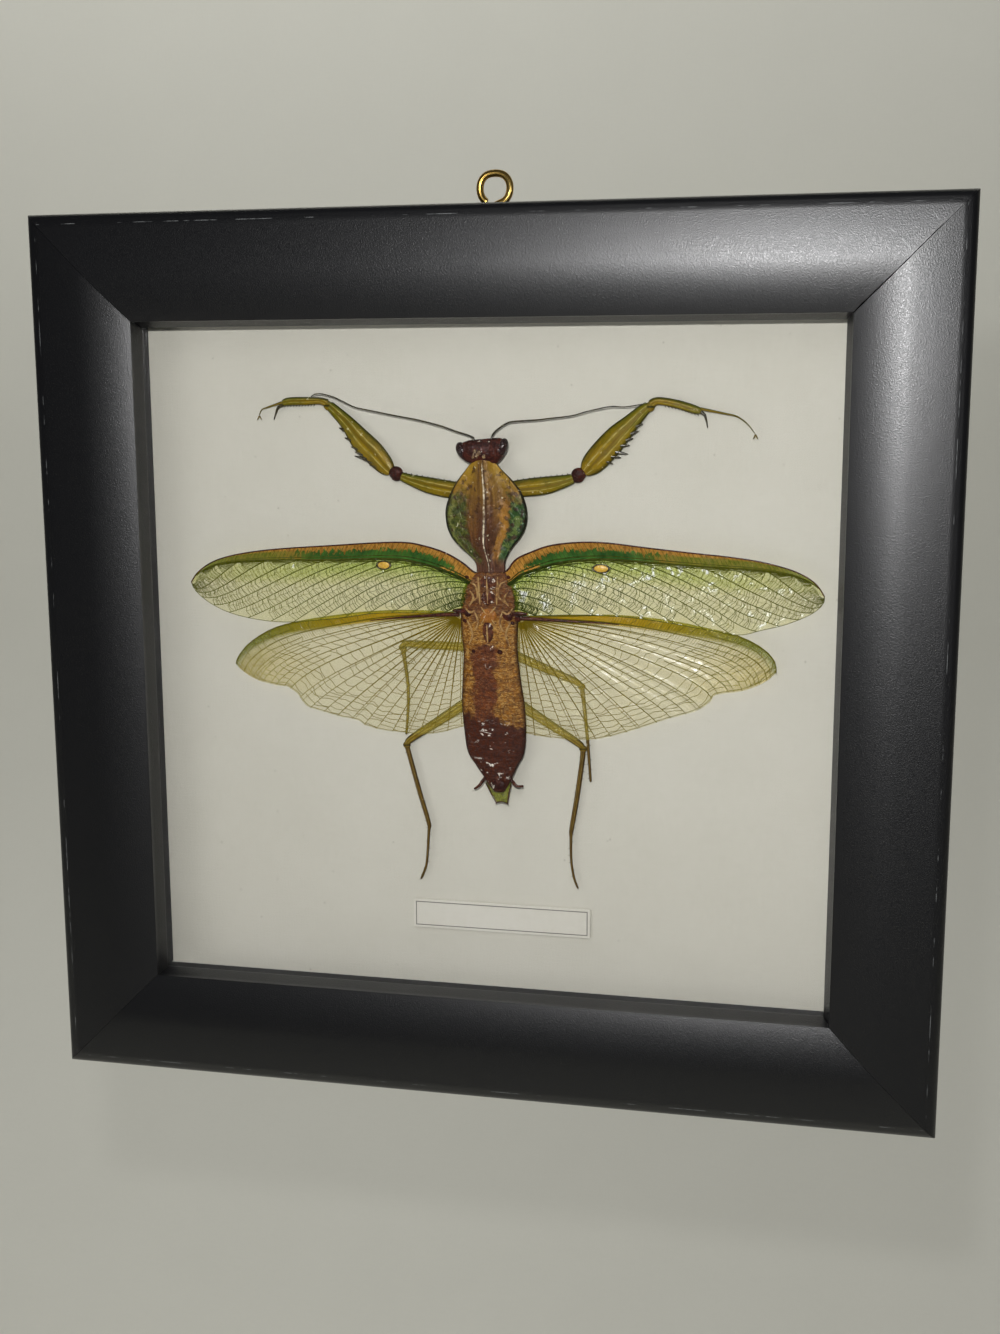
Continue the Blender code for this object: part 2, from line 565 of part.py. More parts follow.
def build_antenna(name, route, chitin):
    """Make a thread-like antenna."""
    points = resample(route, 22)
    stations = []
    for i, (x, z) in enumerate(points):
        width = ANTENNA_BASE_WIDTH + (ANTENNA_TIP_WIDTH - ANTENNA_BASE_WIDTH) * i / (len(points) - 1)
        stations.append((x, z, width, width))
    bm = bmesh.new()
    add_limb(bm, stations, ANTENNA_Y, sides=6)
    mesh_object(name, bm, chitin, smooth_angle=60)


def build_specimen():
    """Make every piece of the mantis."""
    dark_red = material("dark_red_chitin", (0.06, 0.015, 0.01), 0.35)
    mottled = material("mottled_green_chitin", (0.16, 0.12, 0.03), 0.4)
    amber = material("amber_chitin", (0.28, 0.12, 0.03), 0.3)
    green_wing = material("green_wing", (0.2, 0.22, 0.05), 0.4)
    clear_wing = material("clear_wing", (0.45, 0.42, 0.25), 0.35)
    olive = material("olive_leg", (0.22, 0.17, 0.02), 0.4)
    dark_olive = material("dark_olive_thread", (0.04, 0.035, 0.01), 0.5)
    build_head(dark_red)
    build_shield(mottled)
    build_body(amber)
    build_forewing("forewing_left", FOREWING_LEFT_LEAD, FOREWING_LEFT_REAR, green_wing)
    build_forewing("forewing_right", FOREWING_RIGHT_LEAD, FOREWING_RIGHT_REAR, green_wing)
    build_hindwing("hindwing_left", HINDWING_LEFT_HINGE, HINDWING_LEFT_LEAD, HINDWING_LEFT_REAR, clear_wing)
    build_hindwing("hindwing_right", HINDWING_RIGHT_HINGE, HINDWING_RIGHT_LEAD, HINDWING_RIGHT_REAR, clear_wing)
    build_foreleg("foreleg_left", FORELEG_LEFT, FORELEG_TARSUS_LEFT, FORELEG_CLAW_LEFT,
                  FORELEG_SPINES_LEFT, olive)
    build_foreleg("foreleg_right", FORELEG_RIGHT, FORELEG_TARSUS_RIGHT, FORELEG_CLAW_RIGHT,
                  FORELEG_SPINES_RIGHT, olive)
    build_leg("midleg_left", MIDLEG_LEFT, olive)
    build_leg("midleg_right", MIDLEG_RIGHT, olive)
    build_leg("hindleg_left", HINDLEG_LEFT, olive)
    build_leg("hindleg_right", HINDLEG_RIGHT, olive)
    build_antenna("antenna_left", ANTENNA_LEFT, dark_olive)
    build_antenna("antenna_right", ANTENNA_RIGHT, dark_olive)


def main():
    """Clear the scene and build the framed specimen."""
    for existing in list(bpy.data.objects):
        bpy.data.objects.remove(existing, do_unlink=True)
    black = material("black_lacquer", (0.012, 0.013, 0.015), 0.35)
    brass = material("brass_wire", (0.72, 0.52, 0.16), 0.25, metallic=1.0)
    rails = build_frame(black)
    build_back(
        glass=material("clear_glass", (1.0, 1.0, 1.0), 0.02, transmission=1.0),
        black_card=material("black_strip", (0.02, 0.02, 0.02), 0.6),
        card=material("off_white_card", (0.52, 0.51, 0.42), 0.8),
        board=material("grey_board", (0.35, 0.28, 0.2), 0.8),
        paper=material("brown_paper", (0.42, 0.28, 0.15), 0.8),
    )
    build_screw_eye(rails["rail_top"], brass)
    build_label(material("label_paper", (0.6, 0.59, 0.52), 0.8))
    build_specimen()


main()
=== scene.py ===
"""Dress the framed mantis specimen: black box frame, glass, card and a spread, dried mantis.

Places are in millimetres from the centre of the frame's back, with x to the right, z up and y away
from the viewer. A mesh is made in metres, in the same place as the solid that it stands for.
"""

import logging
import math
import random
from dataclasses import dataclass, field
from enum import Enum
from typing import Callable, Optional, Sequence, Union

import bpy
from mathutils import Matrix, Vector


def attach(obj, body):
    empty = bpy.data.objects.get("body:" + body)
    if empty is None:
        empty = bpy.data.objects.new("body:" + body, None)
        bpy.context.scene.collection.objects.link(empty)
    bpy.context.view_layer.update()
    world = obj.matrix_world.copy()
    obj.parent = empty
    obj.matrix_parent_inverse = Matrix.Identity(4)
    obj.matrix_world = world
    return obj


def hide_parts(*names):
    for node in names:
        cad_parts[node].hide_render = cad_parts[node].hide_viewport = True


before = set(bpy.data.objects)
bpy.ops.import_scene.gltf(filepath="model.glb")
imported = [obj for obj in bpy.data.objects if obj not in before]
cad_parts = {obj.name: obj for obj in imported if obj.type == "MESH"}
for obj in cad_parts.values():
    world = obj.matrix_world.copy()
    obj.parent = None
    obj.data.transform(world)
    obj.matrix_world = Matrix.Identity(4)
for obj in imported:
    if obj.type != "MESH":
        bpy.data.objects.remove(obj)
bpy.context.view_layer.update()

LOG = logging.getLogger("specimen")
MM = 0.001
Socket = bpy.types.NodeSocket
Value = Union[float, tuple, Socket]
Point = tuple[float, ...]
Tone = tuple[int, int, int]
Finishes = dict[str, bpy.types.Material]


def tone(red: float, green: float, blue: float) -> tuple[float, float, float, float]:
    """Return a shader colour from the 0 to 255 values that a screen shows.

    Args:
        red: The red value.
        green: The green value.
        blue: The blue value.

    Returns:
        The same colour as linear red, green, blue and alpha.
    """
    linear = []
    for value in (red, green, blue):
        share = value / 255
        linear.append(share / 12.92 if share <= 0.04045 else ((share + 0.055) / 1.055) ** 2.4)
    return linear[0], linear[1], linear[2], 1.0


class Side(Enum):
    """The two sides of the insect, as the viewer sees them."""

    LEFT = "left"
    RIGHT = "right"


# Node helpers

class Desk:
    """A node tree with short calls for the nodes that the finishes share."""

    def __init__(self, tree: bpy.types.NodeTree) -> None:
        """Keep the tree and the texture coordinates that are asked for."""
        self.tree = tree
        self.coordinates: Optional[bpy.types.Node] = None

    def add(self, kind: str, **settings: object) -> bpy.types.Node:
        """Add a node and set its properties.

        Args:
            kind: The type of the node.
            settings: Its properties.

        Returns:
            The new node.
        """
        made = self.tree.nodes.new(kind)
        for name, value in settings.items():
            setattr(made, name, value)
        return made

    def put(self, target: Socket, value: Value) -> None:
        """Link a socket, or set its value.

        Args:
            target: The input socket.
            value: A socket to link, or a number or colour to set.
        """
        if isinstance(value, bpy.types.NodeSocket):
            self.tree.links.new(value, target)
        else:
            target.default_value = value

    def place(self, output: str = "Object") -> Socket:
        """Return the object coordinates or the piece's own UV map.

        Args:
            output: The name of the coordinates.

        Returns:
            Their socket.
        """
        if self.coordinates is None:
            self.coordinates = self.add("ShaderNodeTexCoord")
        return self.coordinates.outputs[output]

    def math(self, operation: str, first: Value, second: Value = 0.0, clamp: bool = False) -> Socket:
        """Return the result of one Math node.

        Args:
            operation: What the node works out.
            first: The first number.
            second: The second number.
            clamp: Whether it is clamped.

        Returns:
            The result.
        """
        made = self.add("ShaderNodeMath", operation=operation, use_clamp=clamp)
        self.put(made.inputs[0], first)
        self.put(made.inputs[1], second)
        return made.outputs[0]

    def times(self, first: Value, second: Value) -> Socket:
        """Return the first value times the second."""
        return self.math("MULTIPLY", first, second)

    def minus(self, first: Value, second: Value) -> Socket:
        """Return the first value less the second."""
        return self.math("SUBTRACT", first, second)

    def gap(self, first: Value, second: Value) -> Socket:
        """Return how far apart two values are."""
        return self.math("ABSOLUTE", self.minus(first, second))

    def spread(self, value: Value, low: float, high: float, start: float = 0.0, stop: float = 1.0,
               smooth: bool = False) -> Socket:
        """Map a value from low..high to start..stop, clamped.

        Args:
            value: The value to map.
            low: Where the range starts.
            high: Where it ends.
            start: The result at low.
            stop: The result at high.
            smooth: Whether both ends are eased.

        Returns:
            The mapped value.
        """
        made = self.add("ShaderNodeMapRange", interpolation_type="SMOOTHSTEP" if smooth else "LINEAR")
        for name, number in (("Value", value), ("From Min", low), ("From Max", high), ("To Min", start),
                             ("To Max", stop)):
            self.put(made.inputs[name], number)
        return made.outputs["Result"]

    def band(self, value: Socket, low: float, high: float, soft: float) -> Socket:
        """Return a mask that is 1 between low and high, with soft edges.

        Args:
            value: The value to test.
            low: Where the band starts.
            high: Where it ends.
            soft: Half the width of its edges.

        Returns:
            The mask.
        """
        rise = self.spread(value, low - soft, low + soft, smooth=True)
        fall = self.spread(value, high - soft, high + soft, 1.0, 0.0, smooth=True)
        return self.times(rise, fall)

    def mix(self, share: Value, first: Value, second: Value, blend: str = "MIX") -> Socket:
        """Return a mix of two colours.

        Args:
            share: How much of the second colour shows.
            first: The first colour.
            second: The second colour.
            blend: The kind of mix.

        Returns:
            The mixed colour.
        """
        made = self.add("ShaderNodeMix", data_type="RGBA", blend_type=blend)
        self.put(made.inputs["Factor"], share)
        self.put(made.inputs[6], first)
        self.put(made.inputs[7], second)
        return made.outputs[2]

    def axes(self, vector: Socket) -> tuple[Socket, Socket, Socket]:
        """Split a vector into its three numbers.

        Args:
            vector: The vector to split.

        Returns:
            Its x, y and z.
        """
        made = self.add("ShaderNodeSeparateXYZ")
        self.put(made.inputs[0], vector)
        return made.outputs[0], made.outputs[1], made.outputs[2]

    def stretch(self, vector: Socket, scale: Sequence[float], move: Sequence[float] = (0, 0, 0)) -> Socket:
        """Scale and shift a vector with a Mapping node.

        Args:
            vector: The vector to change.
            scale: Its new scale along each axis.
            move: How far it is shifted.

        Returns:
            The new vector.
        """
        made = self.add("ShaderNodeMapping")
        self.put(made.inputs["Vector"], vector)
        made.inputs["Scale"].default_value = tuple(scale)
        made.inputs["Location"].default_value = tuple(move)
        return made.outputs[0]

    def noise(self, vector: Socket, scale: float, detail: float = 3.0, rough: float = 0.55,
              twist: float = 0.0) -> Socket:
        """Return a noise value from 0 to 1.

        Args:
            vector: Where the noise is read.
            scale: How fine it is.
            detail: How many layers it has.
            rough: How strong the fine layers are.
            twist: How far it is distorted.

        Returns:
            The noise.
        """
        made = self.add("ShaderNodeTexNoise")
        self.put(made.inputs["Vector"], vector)
        for name, number in (("Scale", scale), ("Detail", detail), ("Roughness", rough), ("Distortion", twist)):
            self.put(made.inputs[name], number)
        return made.outputs[0]

    def cells(self, vector: Socket, scale: float, feature: str = "F1", output: str = "Distance") -> Socket:
        """Return a Voronoi value.

        Args:
            vector: Where the pattern is read.
            scale: How fine it is.
            feature: What is measured.
            output: The name of the output.

        Returns:
            The value.
        """
        made = self.add("ShaderNodeTexVoronoi", feature=feature)
        self.put(made.inputs["Vector"], vector)
        self.put(made.inputs["Scale"], scale)
        return made.outputs[output]

    def scaled(self, start: bpy.types.Node) -> Socket:
        """Return a group's vector input times its scale input.

        Args:
            start: The input node of the group.

        Returns:
            The scaled vector.
        """
        made = self.add("ShaderNodeVectorMath", operation="SCALE")
        self.put(made.inputs[0], start.outputs["Vector"])
        self.put(made.inputs["Scale"], start.outputs["Scale"])
        return made.outputs[0]

    def lay(self, under: Value, over: Value, mask: Value, strength: Value) -> Socket:
        """Lay one colour over another where a mask shows it."""
        return self.mix(self.times(mask, strength), under, over)

    def group(self, tree: bpy.types.NodeTree, **values: Value) -> bpy.types.bpy_prop_collection:
        """Place a shared group with this finish's own values and return its outputs.

        Args:
            tree: The shared group.
            values: A value for each named input.

        Returns:
            The outputs of the group.
        """
        made = self.add("ShaderNodeGroup", node_tree=tree)
        for name, value in values.items():
            self.put(made.inputs[name.title()], value)
        return made.outputs


def new_group(name: str, inputs: Sequence[tuple[str, float]], outputs: Sequence[str]
              ) -> tuple[bpy.types.NodeTree, Desk, bpy.types.Node, bpy.types.Node]:
    """Start a shared shader group that takes a vector and some numbers.

    Args:
        name: The group's name.
        inputs: Name and first value of each number it takes.
        outputs: Name of each number it gives.

    Returns:
        The tree, a desk on it, and its input and output nodes.
    """
    tree = bpy.data.node_groups.new(name, "ShaderNodeTree")
    tree.interface.new_socket(name="Vector", in_out="INPUT", socket_type="NodeSocketVector")
    for label, value in inputs:
        made = tree.interface.new_socket(name=label, in_out="INPUT", socket_type="NodeSocketFloat")
        made.default_value = value
    for label in outputs:
        tree.interface.new_socket(name=label, in_out="OUTPUT", socket_type="NodeSocketFloat")
    return tree, Desk(tree), tree.nodes.new("NodeGroupInput"), tree.nodes.new("NodeGroupOutput")


class Effects:
    """The effects that more than one finish uses, each built once as a node group."""

    def __init__(self) -> None:
        """Build every group."""
        self.speckle = self.build_speckle()
        self.fibre = self.build_fibre()
        self.blotch = self.build_blotch()
        self.crinkle = self.build_crinkle()
        self.streak = self.build_streak()
        self.glint = self.build_glint()

    @staticmethod
    def build_speckle() -> bpy.types.NodeTree:
        """Fine bright grain, as on sprayed lacquer.

        Returns:
            The group.
        """
        tree, desk, start, end = new_group("fine_speckle", [("Scale", 2500.0)], ["Grain", "Cloud"])
        grain = desk.add("ShaderNodeTexNoise")
        desk.put(grain.inputs["Vector"], start.outputs["Vector"])
        desk.put(grain.inputs["Scale"], start.outputs["Scale"])
        grain.inputs["Detail"].default_value = 2.0
        cloud = desk.noise(start.outputs["Vector"], 60.0, 4.0)
        desk.put(end.inputs["Grain"], desk.spread(grain.outputs[0], 0.3, 0.7))
        desk.put(end.inputs["Cloud"], desk.spread(cloud, 0.3, 0.7))
        return tree

    @staticmethod
    def build_fibre() -> bpy.types.NodeTree:
        """Paper: long fibres, a cloudy tone and rare specks.

        Returns:
            The group.
        """
        tree, desk, start, end = new_group("paper_fibre", [("Scale", 400.0)], ["Fibre", "Cloud", "Speck"])
        scaled = desk.scaled(start)
        along = desk.noise(desk.stretch(scaled, (0.35, 1.0, 2.4)), 1.0, 4.0, 0.6, 0.6)
        across = desk.noise(desk.stretch(scaled, (2.2, 1.0, 0.4), (3, 1, 7)), 1.0, 4.0, 0.6, 0.6)
        desk.put(end.inputs["Fibre"], desk.spread(desk.times(along, across), 0.12, 0.4))
        desk.put(end.inputs["Cloud"], desk.spread(desk.noise(scaled, 0.05, 3.0), 0.3, 0.7))
        dots = desk.cells(scaled, 0.22)
        desk.put(end.inputs["Speck"], desk.spread(dots, 0.03, 0.06, 1.0, 0.0))
        return tree

    @staticmethod
    def build_blotch() -> bpy.types.NodeTree:
        """Ragged blotches with small dots round them.

        Returns:
            The group.
        """
        tree, desk, start, end = new_group("ragged_blotch", [("Scale", 400.0), ("Amount", 0.5)],
                                           ["Blotch", "Dots", "Tone"])
        scaled = desk.scaled(start)
        big = desk.noise(scaled, 1.0, 5.0, 0.65, 0.4)
        edge = desk.minus(1.0, start.outputs["Amount"])
        over = desk.minus(big, desk.spread(edge, 0.0, 1.0, 0.3, 0.7))
        desk.put(end.inputs["Blotch"], desk.spread(over, -0.03, 0.03, smooth=True))
        dots = desk.cells(scaled, 2.4)
        desk.put(end.inputs["Dots"], desk.spread(dots, 0.18, 0.34, 1.0, 0.0))
        desk.put(end.inputs["Tone"], desk.spread(desk.noise(scaled, 3.1, 3.0), 0.3, 0.7))
        return tree

    @staticmethod
    def build_crinkle() -> bpy.types.NodeTree:
        """The uneven, wrinkled skin of something dried.

        Returns:
            The group.
        """
        tree, desk, start, end = new_group("dried_crinkle", [("Scale", 900.0)], ["Height", "Crease"])
        scaled = desk.scaled(start)
        lumps = desk.noise(scaled, 1.0, 4.0, 0.6, 0.8)
        creases = desk.cells(scaled, 0.9, "DISTANCE_TO_EDGE")
        crease = desk.spread(creases, 0.0, 0.16, 1.0, 0.0, smooth=True)
        desk.put(end.inputs["Height"], desk.minus(lumps, desk.times(crease, 0.25)))
        desk.put(end.inputs["Crease"], crease)
        return tree

    @staticmethod
    def build_glint() -> bpy.types.NodeTree:
        """Short pale squiggles: painted glint highlights, and also the pale web of crinkle lines on the trunk.

        Returns:
            The group.
        """
        tree, desk, start, end = new_group("painted_glint_and_pale_web", [("Scale", 900.0), ("Amount", 0.3)], ["Glint"])
        scaled = desk.scaled(start)
        bend = desk.noise(scaled, 1.0, 2.0, 0.6, 0.5)
        line = desk.spread(desk.gap(bend, 0.5), 0.012, 0.045, 1.0, 0.0)
        patch = desk.noise(desk.stretch(scaled, (1, 1, 1), (7, 3, 5)), 0.9, 2.0, 0.6, 0.3)
        edge = desk.spread(start.outputs["Amount"], 0.0, 1.0, 0.72, 0.32)
        over = desk.spread(desk.minus(patch, edge), 0.0, 0.03)
        desk.put(end.inputs["Glint"], desk.times(line, over))
        return tree

    @staticmethod
    def build_streak() -> bpy.types.NodeTree:
        """Long streaks that run along a piece, from its UV map.

        Returns:
            The group.
        """
        tree, desk, start, end = new_group("long_streak", [("Lines", 14.0)], ["Streak", "Ridge"])
        along, around, _ = desk.axes(start.outputs["Vector"])
        joined = desk.add("ShaderNodeCombineXYZ")
        desk.put(joined.inputs[0], desk.times(along, 3.0))
        desk.put(joined.inputs[1], desk.times(around, start.outputs["Lines"]))
        streak = desk.noise(joined.outputs[0], 1.0, 4.0, 0.6, 0.2)
        desk.put(end.inputs["Streak"], desk.spread(streak, 0.32, 0.68))
        wave = desk.math("SINE", desk.times(around, desk.times(start.outputs["Lines"], 4.0)))
        desk.put(end.inputs["Ridge"], desk.math("ADD", desk.times(wave, 0.3), streak))
        return tree


# Finishes

@dataclass
class Surface:
    """What a finish paints: sockets that change over the surface."""

    colour: Optional[Value] = None
    roughness: Optional[Value] = None
    alpha: Optional[Socket] = None
    height: Optional[Socket] = None


@dataclass(frozen=True)
class Finish:
    """A finish, with the values that are the same all over it."""

    name: str
    roughness: float = 0.5
    metallic: float = 0.0
    specular: float = 0.5
    coat: float = 0.0
    transmission: float = 0.0
    relief: float = 0.0
    base: tuple[float, ...] = (0.5, 0.5, 0.5, 1.0)

    def paint(self, desk: Desk, effects: Effects) -> Surface:
        """Return the sockets that vary; a plain finish has none."""
        return Surface()

    def build(self, effects: Effects) -> bpy.types.Material:
        """Make the material.

        Args:
            effects: The shared groups.

        Returns:
            The finished material.
        """
        made = bpy.data.materials.new(self.name)
        made.use_nodes = True
        shader = made.node_tree.nodes["Principled BSDF"]
        desk = Desk(made.node_tree)
        surface = self.paint(desk, effects)
        for socket, value in (("Metallic", self.metallic), ("Specular IOR Level", self.specular),
                              ("Coat Weight", self.coat), ("Coat Roughness", 0.08),
                              ("Transmission Weight", self.transmission),
                              ("Base Color", self.base if surface.colour is None else surface.colour),
                              ("Roughness", self.roughness if surface.roughness is None else surface.roughness)):
            desk.put(shader.inputs[socket], value)
        if surface.alpha is not None:
            desk.put(shader.inputs["Alpha"], surface.alpha)
        if surface.height is not None:
            bump = desk.add("ShaderNodeBump")
            bump.inputs["Distance"].default_value = self.relief
            desk.put(bump.inputs["Height"], surface.height)
            desk.put(shader.inputs["Normal"], bump.outputs[0])
        return made


@dataclass(frozen=True)
class BlackLacquer(Finish):
    """Satin black with fine grain, a pale broken line along the outer edge of the face and small scratches."""

    grain: float = 4600.0
    pale_edge_band: tuple[float, float] = (0.226, 0.232)
    pale_edge_tone: Tone = (165, 168, 168)
    scratches: tuple[Point, ...] = ((84.6, 85.2, -1.4, 0.5), (79.5, 80.6, -1.1, 0.8), (77.0, 83.0, -0.8, 0.4),
                                    (84.9, 66.0, 9.0, 0.2))

    def paint(self, desk: Desk, effects: Effects) -> Surface:
        """Paint grain, the pale edge line and small scratches.

        Args:
            desk: The finish's nodes.
            effects: The shared groups.

        Returns:
            The sockets that vary.
        """
        speckle = desk.group(effects.speckle, vector=desk.place(), scale=self.grain)
        _, across, _ = desk.axes(desk.place("UV"))
        gap = desk.noise(desk.stretch(desk.place("UV"), (26, 3, 1)), 1.0, 3.0, 0.7)
        line = desk.band(across, *self.pale_edge_band, 0.004)
        x, _, z = desk.axes(desk.place())
        pale_marks = desk.times(line, desk.spread(gap, 0.52, 0.6, 0.0, 0.7))
        for px, pz, lean, half in self.scratches:
            off = desk.minus(x, px * MM)
            away = desk.minus(desk.minus(z, pz * MM), desk.times(off, lean))
            mark = desk.times(desk.band(away, -0.0001, 0.0001, 0.00006), desk.band(off, -half * MM, half * MM, 0.0003))
            pale_marks = desk.math("MAXIMUM", pale_marks, desk.times(mark, 0.45))
        dark = desk.mix(speckle["Grain"], tone(1, 1, 2), tone(9, 9, 12))
        return Surface(colour=desk.mix(pale_marks, dark, tone(*self.pale_edge_tone)),
                       roughness=desk.spread(speckle["Grain"], 0.0, 1.0, 0.43, 0.28),
                       height=speckle["Grain"])


@dataclass(frozen=True)
class Paper(Finish):
    """Card or paper, with fibres, cloudiness and rare specks."""

    light: tuple[float, ...] = (1, 1, 1, 1)
    dark: tuple[float, ...] = (0, 0, 0, 1)
    speck: tuple[float, ...] = (0, 0, 0, 1)
    scale: float = 900.0

    def paint(self, desk: Desk, effects: Effects) -> Surface:
        """Paint the fibres.

        Args:
            desk: The finish's nodes.
            effects: The shared groups.

        Returns:
            The sockets that vary.
        """
        fibre = desk.group(effects.fibre, vector=desk.place(), scale=self.scale)
        share = desk.math("ADD", desk.times(fibre["Fibre"], 0.5), desk.times(fibre["Cloud"], 0.5))
        colour = desk.mix(share, self.light, self.dark)
        return Surface(colour=desk.lay(colour, self.speck, fibre["Speck"], 0.35), height=fibre["Fibre"])


@dataclass(frozen=True)
class BorderedSlip(Paper):
    """The bare caption slip, with one thin printed line round it."""

    centre: tuple[float, float] = (3.2, -53.5)
    half: tuple[float, float] = (18.2, 2.5)

    def paint(self, desk: Desk, effects: Effects) -> Surface:
        """Paint the paper and its line.

        Args:
            desk: The finish's nodes.
            effects: The shared groups.

        Returns:
            The sockets that vary.
        """
        surface = super().paint(desk, effects)
        x, _, z = desk.axes(desk.place())
        away = []
        for value, middle, half in ((x, self.centre[0], self.half[0]), (z, self.centre[1], self.half[1])):
            off = desk.gap(value, middle * MM)
            away.append(desk.minus(off, half * MM))
        line = desk.band(desk.math("MAXIMUM", *away), -0.0001, 0.0001, 0.00004)
        return Surface(colour=desk.lay(surface.colour, tone(70, 66, 60), line, 0.8), height=surface.height)


@dataclass(frozen=True)
class Brass(Finish):
    """Bright drawn brass wire with streaks and a little tarnish."""

    def paint(self, desk: Desk, effects: Effects) -> Surface:
        """Paint streaks along the wire.

        Args:
            desk: The finish's nodes.
            effects: The shared groups.

        Returns:
            The sockets that vary.
        """
        streak = desk.group(effects.streak, vector=desk.place("UV"), lines=20.0)
        stain = desk.noise(desk.place(), 900.0, 3.0)
        bright = desk.mix(streak["Streak"], tone(236, 204, 122), tone(196, 152, 66))
        return Surface(colour=desk.mix(desk.spread(stain, 0.55, 0.75, 0.0, 0.6), bright, tone(96, 66, 30)),
                       roughness=desk.spread(streak["Streak"], 0.0, 1.0, 0.16, 0.36),
                       height=streak["Ridge"])


@dataclass(frozen=True)
class Chitin(Finish):
    """Dried shell of one or two tones, with blotches and wrinkles."""

    light: tuple[float, ...] = (1, 1, 1, 1)
    dark: tuple[float, ...] = (0, 0, 0, 1)
    deep: tuple[float, ...] = (0, 0, 0, 1)
    scale: float = 900.0
    amount: float = 0.5
    glint_paint_amount: float = 0.0

    def paint(self, desk: Desk, effects: Effects) -> Surface:
        """Paint tones, blotches, creases and glints.

        Args:
            desk: The finish's nodes.
            effects: The shared groups.

        Returns:
            The sockets that vary.
        """
        blotch = desk.group(effects.blotch, vector=desk.place(), scale=self.scale, amount=self.amount)
        crinkle = desk.group(effects.crinkle, vector=desk.place(), scale=self.scale * 1.6)
        tones = desk.mix(blotch["Tone"], self.light, self.dark)
        shaded = desk.lay(tones, self.deep, blotch["Blotch"], 0.7)
        # Painted highlight: pale glint squiggles laid over the blotched shell colour.
        glint = desk.group(effects.glint, vector=desk.place(), scale=self.scale * 0.8, amount=self.glint_paint_amount)
        shaded = desk.lay(shaded, tone(236, 228, 208), glint["Glint"], 0.85)
        return Surface(colour=shaded,
                       roughness=desk.spread(crinkle["Height"], 0.3, 0.7, self.roughness * 0.6,
                                             self.roughness * 1.2),
                       height=crinkle["Height"])


@dataclass(frozen=True)
class ShieldChitin(Finish):
    """The shield: amber front, brown centre band, mottled green lobes and a thin dark rim."""

    def paint(self, desk: Desk, effects: Effects) -> Surface:
        """Paint the bands from the UV map, with u from neck to rear and v from left to right.

        Args:
            desk: The finish's nodes.
            effects: The shared groups.

        Returns:
            The sockets that vary.
        """
        along, across, _ = desk.axes(desk.place("UV"))
        wobble = desk.spread(desk.noise(desk.place(), 520.0, 5.0, 0.65), 0.2, 0.8, -0.07, 0.07)
        across_w = desk.math("ADD", across, wobble)
        along_w = desk.math("ADD", along, wobble)
        blotch = desk.group(effects.blotch, vector=desk.place(), scale=560.0, amount=0.45)
        fine = desk.group(effects.blotch, vector=desk.place(), scale=900.0, amount=0.4)
        crinkle = desk.group(effects.crinkle, vector=desk.place(), scale=900.0)
        glint = desk.group(effects.glint, vector=desk.place(), scale=620.0, amount=0.2)
        streak = desk.group(effects.streak, vector=desk.place("UV"), lines=20.0)
        dim = desk.mix(streak["Streak"], tone(142, 106, 42), tone(82, 52, 18))
        brown = desk.mix(streak["Streak"], tone(104, 66, 28), tone(48, 26, 12))
        colour = desk.mix(desk.spread(along_w, 0.2, 0.6, smooth=True), dim, brown)
        sides = desk.spread(desk.gap(across_w, 0.49), 0.1, 0.3)
        colour = desk.lay(colour, tone(154, 120, 30), sides, desk.spread(along, 0.3, 0.1))
        left = desk.mix(blotch["Tone"], tone(88, 90, 24), tone(46, 58, 16))
        left = desk.lay(left, tone(40, 52, 20), blotch["Blotch"], 0.6)
        left = desk.lay(left, tone(18, 20, 10), fine["Dots"], 0.9)
        left = desk.lay(left, tone(140, 142, 74), desk.band(across_w, 0.06, 0.09, 0.02), 0.5)
        right = desk.mix(blotch["Blotch"], tone(40, 68, 26), tone(84, 100, 44))
        right = desk.lay(right, tone(22, 32, 20), fine["Blotch"], 0.8)
        lobes = desk.band(along_w, 0.27, 0.84, 0.05)
        left_mask = desk.times(lobes, desk.spread(across_w, 0.24, 0.3, 1.0, 0.0, smooth=True))
        right_mask = desk.times(lobes, desk.spread(across_w, 0.78, 0.82, smooth=True))
        colour = desk.mix(left_mask, colour, left)
        orange = desk.mix(streak["Streak"], tone(158, 112, 38), tone(116, 76, 24))
        stripe = desk.times(desk.band(across_w, 0.68, 0.8, 0.03), desk.band(along_w, 0.3, 0.86, 0.05))
        colour = desk.mix(stripe, colour, orange)
        colour = desk.mix(right_mask, colour, right)
        middle = desk.times(desk.band(across_w, 0.38, 0.62, 0.06), desk.spread(along_w, 0.25, 0.4))
        colour = desk.lay(colour, tone(74, 40, 24), middle, 0.6)
        spots = desk.spread(desk.noise(desk.place(), 900.0, 2.0), 0.58, 0.66, 0.0, 0.8)
        colour = desk.mix(spots, colour, tone(58, 34, 18))
        rim = desk.minus(1.0, desk.band(across, 0.03, 0.97, 0.014))
        colour = desk.lay(colour, tone(22, 20, 12), rim, 0.92)
        neck = desk.spread(along_w, 0.8, 0.94, 0.0, 0.9, smooth=True)
        colour = desk.mix(neck, colour, desk.mix(streak["Streak"], tone(104, 68, 48), tone(46, 24, 20)))
        # Painted highlight: a broken pale line along the keel; the dark line just right of it is painted shade.
        keel = desk.times(desk.band(across, 0.478, 0.498, 0.01), desk.band(along, 0.05, 0.97, 0.04))
        gleam = desk.spread(desk.noise(desk.place(), 1300.0, 3.0), 0.42, 0.56, 0.1, 1.0)
        colour = desk.lay(colour, tone(240, 228, 196), keel, gleam)
        shade = desk.band(across, 0.5, 0.53, 0.012)
        colour = desk.lay(colour, tone(44, 22, 14), shade, 0.6)
        # Painted highlight: pale glint squiggles.
        colour = desk.lay(colour, tone(226, 222, 186), glint["Glint"], 0.6)
        return Surface(colour=colour, roughness=desk.spread(fine["Tone"], 0.0, 1.0, 0.2, 0.4),
                       height=crinkle["Height"])


